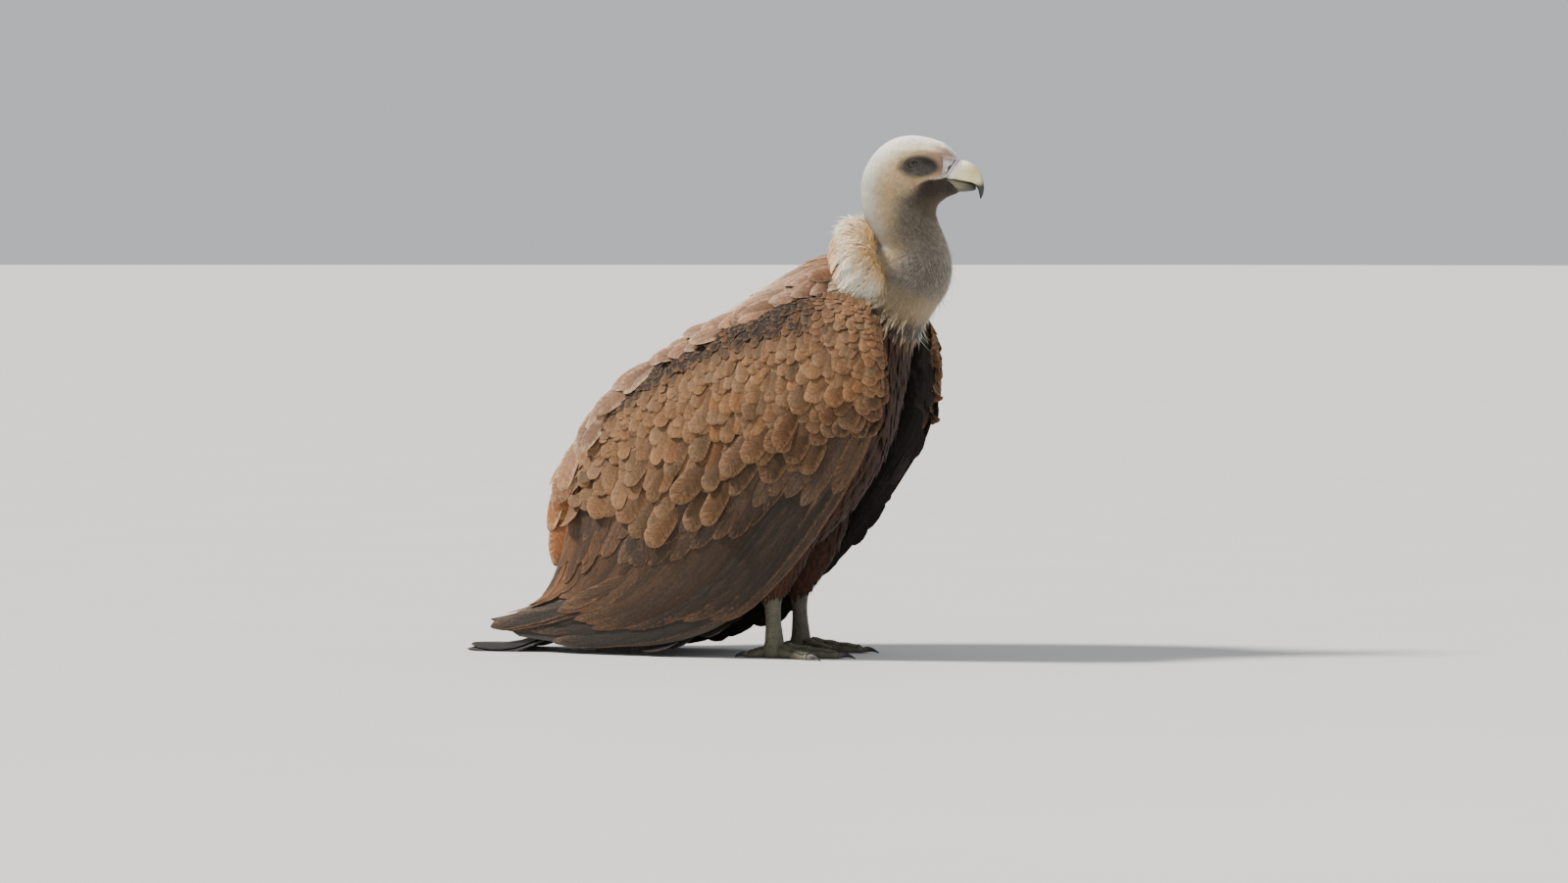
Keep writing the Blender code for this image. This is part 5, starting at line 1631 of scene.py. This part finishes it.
def upper_bill(look):
    """Cere and horn in one: the cere swells over the horn behind a slanting double fold."""
    rings = oval_rings(UPPER_BILL_STATIONS, np.linspace(-0.045, 1, 116), 96, -1)
    x, z = rings[..., 0], rings[..., 2]
    ahead = cere_distance(x, z)
    side = ramp(0.003, 0.008, np.abs(rings[..., 1]))
    folds, grooves = cere_folds(x, z)
    hole = nostril_depth(x, z) * side
    relief = 0.0007 * ramp(0.0008, -0.0014, ahead) + side * (0.0008 * folds - 0.0009 * grooves)
    rings[..., 1] += np.sign(rings[..., 1]) * (relief - 0.0018 * hole) * (np.abs(rings[..., 1]) > 0.001)
    # white near the cere and along the top: pale base horn and painted sheen
    horn = blend(HORN_WHITE_AND_SHEEN, HORN_CREAM, ramp(0.0, 0.014, ahead) * ramp(0.659, 0.646, z))
    horn = blend(horn, HORN_YELLOW, 0.90 * hump(np.hypot(x - 0.2440, z - 0.640), 0.0100))
    horn = blend(horn, HORN_GREY, 0.85 * ramp(0.2490, 0.2570, x) * ramp(0.650, 0.636, z))
    horn = blend(horn, HORN_DARK, ramp(0.6290, 0.6205, z) * ramp(0.2425, 0.2465, x))
    marks = blend(cere_colour(x, z, side, hole), horn, ramp(-0.0006, 0.0008, ahead))
    # dark along the cutting edge: partly the horn's own dark edge, partly painted shadow of the mouth line
    cutting_edge_shadow = ramp(-0.84, -0.93, np.cos(turns(rings.shape[1])))
    marks = blend(marks, HORN_DARK, 0.85 * cutting_edge_shadow[None] * ramp(0.2100, 0.2200, x))
    shape = tube(turn_head(rings), marks, (0, 0, 1, 1))
    piece = make_piece("bill_upper_horn", [shape], [look])
    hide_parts("bill_upper")


def lower_bill(look):
    """The lower half: a narrow trough of olive horn, paler along its edge."""
    rings = oval_rings(LOWER_BILL_STATIONS, np.linspace(-0.05, 1, 62), 64, 1)
    x, z = rings[..., 0], rings[..., 2].copy()
    rise = np.clip(np.cos(turns(64)), 0, 1)
    rings[..., 1] *= 1 - 0.06 * rise
    rings[..., 2] += 0.0014 * rise
    marks = blend(LOWER_OLIVE, HORN_CREAM * 0.24, ramp(0.6140, 0.6225, z) * ramp(0.240, 0.222, x))
    marks = blend(marks, HORN_DARK, 0.9 * ramp(0.2355, 0.2440, x))
    # dark along the top: painted shadow under the upper bill's edge
    marks = blend(marks, HORN_DARK, 0.8 * ramp(0.86, 0.97, rise)[None] * ramp(0.210, 0.218, x))
    shape = tube(turn_head(rings), marks, (0, 0, 1, 1))
    piece = make_piece("bill_lower_horn", [shape], [look])
    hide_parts("bill_lower")


def eyes(look):
    """Each eye is a ball turned round its line of sight, with a low dome over the iris.

    The markings are rings about that line: black pupil, brown iris, dark rim, grey-brown round it.
    """
    for word, side in (("right", -1), ("left", 1)):
        sight = np.array([0.06, side, 0.0])
        sight /= np.linalg.norm(sight)
        across = np.cross([0.0, 0.0, 1.0], sight)
        across /= np.linalg.norm(across)
        upright = np.cross(sight, across)
        off = np.concatenate([np.linspace(0.02, 0.75, 40), np.linspace(0.75, np.pi - 0.02, 30)[1:]])
        round_it = turns(56)
        radius = EYE_RADIUS * (0.975 + 0.025 * hump(off, 0.5))
        ring = np.cos(round_it)[:, None] * across + np.sin(round_it)[:, None] * upright
        rings = (
            (radius * np.cos(off))[:, None, None] * sight + (radius * np.sin(off))[:, None, None] * ring
        )
        rings = turn_head(rings + EYE * [1, side, 1])
        off = np.broadcast_to(off[:, None], rings.shape[:2])
        iris = blend(IRIS_BROWN, IRIS_RIM, ramp(0.36, 0.56, off))
        marks = blend(iris, PUPIL_BLACK, ramp(0.30, 0.27, off))
        marks = blend(marks, LIMBUS_DARK, ramp(0.52, 0.58, off))
        marks = blend(marks, EYE_GREY, ramp(0.68, 0.80, off))
        shape = tube(rings, marks, (0, 0, 1, 1))
        piece = make_piece(f"eyeball_{word}", [shape], [look])
        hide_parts(f"eye_{word}")


def scutes(look):
    """Overlapping plates along the top of each toe, arched over it."""
    shapes = []
    for side, left in ((-1, 0.1), (1, 0.6)):
        for number, (bearing, length, radius) in enumerate(TOES.values()):
            count = int(length / 0.0052)
            share = np.linspace(0.16, 0.88, count)
            none = np.zeros(count)
            half = radius * (0.86 - 0.28 * share)
            shapes.append(lay(
                toe_of(side, bearing, length, radius), SCUTE, np.stack([share, none], -1),
                np.stack([none + 0.0068 / length, none], -1), half, LEG_OLIVE * 1.15, ((0, -3), (1, 3)),
                box=(left + 0.1 * number, 0, left + 0.1 * number + 0.1, 1), sink=0.0004 + 0.40 * half,
                rise=0.0008 - 0.35 * half, camber=0.5, thick=0.0006,
            ))
    make_piece("leg_scutes", shapes, [look])


def claws(look):
    """Each claw is a hooked cone that leaves its toe, arches and comes down to the floor."""
    for word, side in (("right", -1), ("left", 1)):
        for toe, (bearing, length, radius) in TOES.items():
            heading = math.radians(bearing) * side
            ahead = np.array([math.cos(heading), math.sin(heading), 0.0])
            beside = np.array([-math.sin(heading), math.cos(heading), 0.0])
            shares = np.linspace(0, 1, 26)
            reach = CLAW_LENGTH * (HIND_CLAW_SHARE if toe == "hind" else 1.0)
            thick = CLAW_RADIUS * (1 - CLAW_THINNING * shares ** 1.15) * np.sqrt(1 - 0.8 * (1 - shares) ** 8)
            start = radius * (1.0 - TOE_SINK) - FLOOR_BITE
            tip = CLAW_RADIUS * (1 - CLAW_THINNING)
            height = start + CLAW_ARCH * np.sin(np.pi * shares) - (start - tip) * shares ** 2
            height = np.maximum(height, thick + CLAW_ABOVE_FLOOR)
            middle = FOOT_TOP * [1, side, 0] + ahead * (length - 0.0015 + (reach + 0.0027) * shares)[:, None]
            turn = turns(24)
            rings = middle[:, None] + beside * (thick[:, None] * CLAW_WIDTH * np.sin(turn))[..., None]
            rings[..., 2] = height[:, None] + thick[:, None] * np.cos(turn)
            marks = blend(CLAW_ROOT, HORN_DARK, ramp(0.1, 0.6, shares))
            shape = tube(rings, np.repeat(marks[:, None], 24, axis=1), (0, 0, 1, 1))
            piece = make_piece(f"talon_{word}_{toe}", [shape], [look])
            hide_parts(f"claw_{word}_{toe}")


# ---------------------------------------------------------------- materials
def set_input(tree, socket, value):
    """Link a socket to another one, or give it a plain value."""
    if isinstance(value, bpy.types.NodeSocket):
        tree.links.new(value, socket)
    else:
        socket.default_value = value


def put(tree, kind, inputs=None, **settings):
    """Add a node, set its own settings, and give its inputs a value or a link."""
    node = tree.nodes.new(kind)
    for key, value in settings.items():
        setattr(node, key, value)
    for key, value in (inputs or {}).items():
        set_input(tree, node.inputs[key], value)
    return node


def maths(tree, operation, *values, clamp=False):
    """The result of a maths node on numbers or sockets."""
    node = put(tree, "ShaderNodeMath", dict(enumerate(values)), operation=operation, use_clamp=clamp)
    return node.outputs[0]


def clouds(tree, place, scale, detail):
    """Fractal noise at a place, from 0 to 1."""
    node = put(tree, "ShaderNodeTexNoise", {"Vector": place, "Scale": scale, "Detail": detail})
    return node.outputs["Fac"]


def smooth_range(tree, value, low, high):
    """A smooth step from 0 to 1 as value goes from low to high."""
    return put(tree, "ShaderNodeMapRange", {"Value": value, "From Min": low, "From Max": high},
               interpolation_type="SMOOTHSTEP").outputs["Result"]


def mix(tree, share, first, second, how="MIX"):
    """The colour that is share of the way from first to second, or first changed by second."""
    colours = {socket: value if isinstance(value, bpy.types.NodeSocket) else (*value, 1.0)
               for socket, value in ((6, first), (7, second))}
    return put(tree, "ShaderNodeMix", {0: share, **colours}, data_type="RGBA", blend_type=how).outputs[2]


def shaded(tree, colour, shade):
    """The colour times a number."""
    grey = put(tree, "ShaderNodeCombineColor", {"Red": shade, "Green": shade, "Blue": shade}).outputs[0]
    return mix(tree, 1.0, colour, grey, "MULTIPLY")


def new_group(name, colour, numbers):
    """A node group from Colour and named numbers to Colour and Height: the group and its sockets."""
    group = bpy.data.node_groups.new(name, "ShaderNodeTree")
    given = {"Colour": ("NodeSocketColor", colour)}
    given.update({label: ("NodeSocketColor" if np.ndim(value) else "NodeSocketFloat", value)
                  for label, value in numbers.items()})
    for label, (kind, value) in given.items():
        group.interface.new_socket(name=label, in_out="INPUT", socket_type=kind).default_value = value
    for label, kind in (("Colour", "NodeSocketColor"), ("Height", "NodeSocketFloat")):
        group.interface.new_socket(name=label, in_out="OUTPUT", socket_type=kind)
    return group, put(group, "NodeGroupInput").outputs, put(group, "NodeGroupOutput").inputs


def vane_group():
    """Marks of one vane, from how far along and across it a point lies.

    The fringe is a smooth step of the distance from the middle line or from the tip, whichever is
    more, made ragged by noise drawn out along the barbs. The shaft is a narrow stripe down the
    middle, the barbs are a sine along the slant, and the same noise darkens the whole.
    """
    group, given, out = new_group("vane_marks", (0.3, 0.2, 0.1, 1), {
        "Across": 0.5, "Along": 0.5, "Fringe Colour": (0.5, 0.4, 0.3, 1), "Fringe Amount": 0.5,
        "Fringe Start": 0.6, "Shaft Colour": (0.1, 0.06, 0.04, 1), "Shaft Amount": 0.5, "Barb Count": 60.0,
        "Barb Depth": 0.2,
    })
    calc = partial(maths, group)
    along = given["Along"]
    away = calc("ABSOLUTE", calc("MULTIPLY_ADD", given["Across"], 2.0, -1.0))
    slant = calc("SUBTRACT", along, calc("MULTIPLY", away, 0.20))
    place = put(group, "ShaderNodeNewGeometry").outputs["Position"]
    fuzz = clouds(group, place, 260.0, 3.0)
    own = calc("MULTIPLY", put(group, "ShaderNodeSeparateXYZ", {0: place}).outputs["Z"], 35.0)
    on_barb = put(group, "ShaderNodeCombineXYZ", {
        "X": calc("MULTIPLY", given["Across"], 2.4), "Y": calc("MULTIPLY", slant, 34.0), "Z": own,
    }).outputs[0]
    streaks = clouds(group, on_barb, 1.0, 4.0)
    wobble = mix(group, 0.6, fuzz, streaks)
    edge = calc("MAXIMUM", away, calc("MULTIPLY_ADD", along, 1.9, -0.95))
    ragged = calc("ADD", edge, calc("MULTIPLY", calc("SUBTRACT", wobble, 0.5), 0.9))
    fringe = smooth_range(group, ragged, given["Fringe Start"], 1.02)
    fringe = calc("MULTIPLY", fringe, given["Fringe Amount"], clamp=True)
    shaft = calc("MULTIPLY", smooth_range(group, away, 0.13, 0.03), given["Shaft Amount"])
    wave = calc("SINE", calc("MULTIPLY", slant, calc("MULTIPLY", given["Barb Count"], 6.283)))
    barbs = calc("MULTIPLY", calc("MULTIPLY_ADD", wave, 0.5, 0.5), given["Barb Depth"])
    colour = mix(group, fringe, given["Colour"], given["Fringe Colour"])
    colour = mix(group, shaft, colour, given["Shaft Colour"])
    mottle = smooth_range(group, wobble, 0.30, 0.72)
    shade = calc("SUBTRACT", calc("MULTIPLY_ADD", mottle, 0.62, 0.72), barbs)
    group.links.new(shaded(group, colour, shade), out["Colour"])
    group.links.new(calc("ADD", calc("MULTIPLY", wave, 0.3), calc("MULTIPLY", shaft, 1.2)), out["Height"])
    return group


def mottle_group():
    """Soft blotches: the colour times noise about 1, and a height of noise plus cells for pores."""
    group, given, out = new_group(
        "skin_mottle", (0.5, 0.4, 0.3, 1), {"Scale": 200.0, "Amount": 0.4, "Pore Scale": 900.0})
    calc = partial(maths, group)
    place = put(group, "ShaderNodeTexCoord").outputs["Object"]
    noise = clouds(group, place, given["Scale"], 5.0)
    pores = put(group, "ShaderNodeTexVoronoi", {"Vector": place, "Scale": given["Pore Scale"]})
    swing = calc("MULTIPLY", calc("SUBTRACT", noise, 0.5), given["Amount"])
    shade = calc("MULTIPLY_ADD", swing, 2.0, 1.0)
    group.links.new(shaded(group, given["Colour"], shade), out["Colour"])
    group.links.new(calc("ADD", noise, pores.outputs["Distance"]), out["Height"])
    return group


def new_look(name, group, inputs, roughness, strength, distance, shine):
    """A Principled material: the piece's own markings under a shared group, whose height is the bump."""
    look = bpy.data.materials.new(name)
    look.use_nodes = True
    tree = look.node_tree
    marks = put(tree, "ShaderNodeAttribute", attribute_name="markings").outputs["Color"]
    drawn = put(tree, "ShaderNodeGroup", node_tree=group)
    for label, value in {"Colour": marks, **inputs(tree)}.items():
        set_input(tree, drawn.inputs[label], value)
    relief = put(tree, "ShaderNodeBump", {
        "Height": drawn.outputs["Height"], "Strength": strength, "Distance": distance})
    shader = tree.nodes["Principled BSDF"]
    tree.links.new(drawn.outputs["Colour"], shader.inputs["Base Color"])
    tree.links.new(relief.outputs["Normal"], shader.inputs["Normal"])
    for label, value in {"Roughness": roughness, "Metallic": 0.0, **shine}.items():
        shader.inputs[label].default_value = value
    return look


def vane_look(group, name, fringe, amount, start, shaft, shaft_amount, barbs, depth, roughness):
    """A feather material: the shared vane marks, laid out by the map Vane, with this coat's values."""
    def inputs(tree):
        """The vane marks' own inputs."""
        place = put(tree, "ShaderNodeUVMap", uv_map="Vane").outputs["UV"]
        vane = put(tree, "ShaderNodeSeparateXYZ", {0: place})
        return {
            "Across": vane.outputs["X"], "Along": vane.outputs["Y"], "Fringe Colour": (*fringe, 1),
            "Fringe Amount": amount, "Fringe Start": start, "Shaft Colour": (*shaft, 1),
            "Shaft Amount": shaft_amount, "Barb Count": barbs, "Barb Depth": depth,
        }

    shine = {"Specular IOR Level": 0.18, "Sheen Weight": 0.03}
    return new_look(name, group, inputs, roughness, 0.25, 0.0003, shine)


def mottled_look(group, name, roughness, scale, amount, pores, strength, distance, shine):
    """A skin, down or horn material: the shared blotches with this surface's values."""
    def inputs(tree):
        """The blotches' own inputs."""
        return {"Scale": scale, "Amount": amount, "Pore Scale": pores}

    return new_look(name, group, inputs, roughness, strength, distance, shine)


def floor_look():
    """Pale grey with faint broad clouds of noise."""
    look = bpy.data.materials.new("studio_floor")
    look.use_nodes = True
    tree = look.node_tree
    shader = tree.nodes["Principled BSDF"]
    place = put(tree, "ShaderNodeTexCoord").outputs["Object"]
    colour = mix(tree, clouds(tree, place, 3.0, 4.0), (0.60, 0.60, 0.59), (0.64, 0.64, 0.63))
    tree.links.new(colour, shader.inputs["Base Color"])
    shader.inputs["Roughness"].default_value = 0.75
    return look


# Roughness, blotch scale and amount, pore scale, bump strength and distance, and other shader values.
MOTTLED_LOOKS = {
    "plumed_skin": (0.75, 160.0, 0.5, 1400.0, 0.4, 0.0004, {}),
    "scaled_leg_skin": (0.55, 110.0, 0.5, 330.0, 0.9, 0.0009, {}),
    "bill_horn": (0.42, 90.0, 0.30, 260.0, 0.15, 0.0002, {}),
    "claw_horn": (0.52, 90.0, 0.4, 300.0, 0.3, 0.0003, {"Specular IOR Level": 0.3}),
    "wet_eye": (0.30, 900.0, 0.5, 900.0, 0.0, 0.0001, {
        "Specular IOR Level": 0.3, "Coat Weight": 0.25, "Coat Roughness": 0.22}),
    "soft_down": (0.85, 150.0, 0.35, 800.0, 0.1, 0.0002, {"Sheen Weight": 0.3}),
}
# Fringe colour, amount and start, shaft colour and amount, number of barbs and their depth, roughness.
VANE_LOOKS = {
    "covert_vane": ((0.33, 0.195, 0.105), 0.27, 0.50, (0.05, 0.030, 0.020), 0.25, 46.0, 0.14, 0.72),
    "back_vane": ((0.55, 0.39, 0.25), 0.38, 0.56, (0.12, 0.062, 0.036), 0.45, 46.0, 0.14, 0.72),
    "breast_vane": ((0.10, 0.044, 0.022), 0.20, 0.7, (0.12, 0.055, 0.028), 0.20, 40.0, 0.14, 0.72),
    # the lining's fringe and shaft are near black too: painted shade
    "lining_vane": ((0.05, 0.034, 0.024), 0.15, 0.8, (0.05, 0.034, 0.024), 0.2, 60.0, 0.12, 0.72),
    "ruff_vane": ((0.82, 0.74, 0.56), 0.5, 0.55, (0.42, 0.24, 0.10), 0.45, 30.0, 0.14, 0.72),
    "quill_vane": ((0.17, 0.088, 0.042), 0.42, 0.70, (0.035, 0.022, 0.016), 0.7, 130.0, 0.14, 0.60),
    "tail_vane": ((0.05, 0.038, 0.030), 0.4, 0.85, (0.30, 0.24, 0.17), 0.75, 150.0, 0.2, 0.55),
}


# ---------------------------------------------------------------- studio
CAMERA_AZIMUTH = math.radians(17.0)
CAMERA_ELEVATION = math.radians(2.0)
CAMERA_DISTANCE = 8.0
VIEW_WIDTH = 2.08           # what the picture spans at the bird, in metres
VIEW_CENTRE = (-0.013, 0.2834)      # the picture's centre beside and above the feet


def camera():
    """A long lens far off. The view's centre is set beside the feet, square to the line of sight."""
    right = np.array([math.cos(CAMERA_AZIMUTH), math.sin(CAMERA_AZIMUTH), 0.0])
    back_way = np.array([
        math.sin(CAMERA_AZIMUTH) * math.cos(CAMERA_ELEVATION),
        -math.cos(CAMERA_AZIMUTH) * math.cos(CAMERA_ELEVATION), math.sin(CAMERA_ELEVATION),
    ])
    target = FEET_AT + right * VIEW_CENTRE[0] + np.array([0, 0, VIEW_CENTRE[1]])
    data = bpy.data.cameras.new("camera")
    data.sensor_width = 36.0
    data.lens = 36.0 * CAMERA_DISTANCE / VIEW_WIDTH
    data.clip_end = 100.0
    made = bpy.data.objects.new("camera", data)
    made.location = target + back_way * CAMERA_DISTANCE
    made.rotation_euler = (math.pi / 2 - CAMERA_ELEVATION, 0.0, CAMERA_AZIMUTH)
    bpy.context.scene.collection.objects.link(made)
    bpy.context.scene.camera = made


def lamp(name, kind, azimuth, elevation, power, colour, spread):
    """A soft sun, or a square lamp 3 metres off, seen from the bird at azimuth and elevation."""
    data = bpy.data.lights.new(name, kind)
    data.energy = power
    data.color = colour
    if kind == "SUN":
        data.angle = spread
    else:
        data.size = spread
    made = bpy.data.objects.new(name, data)
    turn, lift = math.radians(azimuth), math.radians(elevation)
    way = np.array([math.sin(turn) * math.cos(lift), -math.cos(turn) * math.cos(lift), math.sin(lift)])
    made.location = np.array([0.0, 0.0, 0.35]) + way * 3.0
    made.rotation_euler = (math.pi / 2 - lift, 0.0, turn)
    made.visible_glossy = kind == "SUN"
    bpy.context.scene.collection.objects.link(made)


def studio():
    """A pale floor under a pale sky, a soft key from high on the left and a weaker fill."""
    mesh = bpy.data.meshes.new("floor")
    reach = 90.0
    corners = [(-reach, -reach, 0), (reach, -reach, 0), (reach, reach, 0), (-reach, reach, 0)]
    mesh.from_pydata(corners, [], [(0, 1, 2, 3)])
    mesh.materials.append(floor_look())
    floor = bpy.data.objects.new("floor", mesh)
    bpy.context.scene.collection.objects.link(floor)
    world = bpy.data.worlds.new("room")
    world.use_nodes = True
    world.node_tree.nodes["Background"].inputs["Color"].default_value = (0.80, 0.82, 0.85, 1)
    world.node_tree.nodes["Background"].inputs["Strength"].default_value = 0.72
    bpy.context.scene.world = world
    lamp("key", "SUN", -66, 46, 7.4, (1.0, 0.94, 0.85), math.radians(9))
    lamp("fill", "AREA", 30, 22, 10, (0.96, 0.98, 1.0), 2.0)


# ---------------------------------------------------------------- assembly
vanes = vane_group()
mottle = mottle_group()
looks = {name: mottled_look(mottle, name, *values) for name, values in MOTTLED_LOOKS.items()}
looks.update({name: vane_look(vanes, name, *values) for name, values in VANE_LOOKS.items()})

skin([looks["plumed_skin"], looks["scaled_leg_skin"]])
down(looks["soft_down"])
breast(looks["breast_vane"])
crop_filaments(looks["soft_down"])
collar(looks["ruff_vane"], looks["soft_down"])
back(looks["back_vane"])
tail_feathers(looks["tail_vane"])
for wing_side in (-1, 1):
    wing_coverts(wing_side, looks["covert_vane"])
    flight_feathers(wing_side, looks["quill_vane"])
    wing_lining(wing_side, looks["lining_vane"])
upper_bill(looks["bill_horn"])
lower_bill(looks["bill_horn"])
eyes(looks["wet_eye"])
scutes(looks["scaled_leg_skin"])
claws(looks["claw_horn"])
studio()
camera()
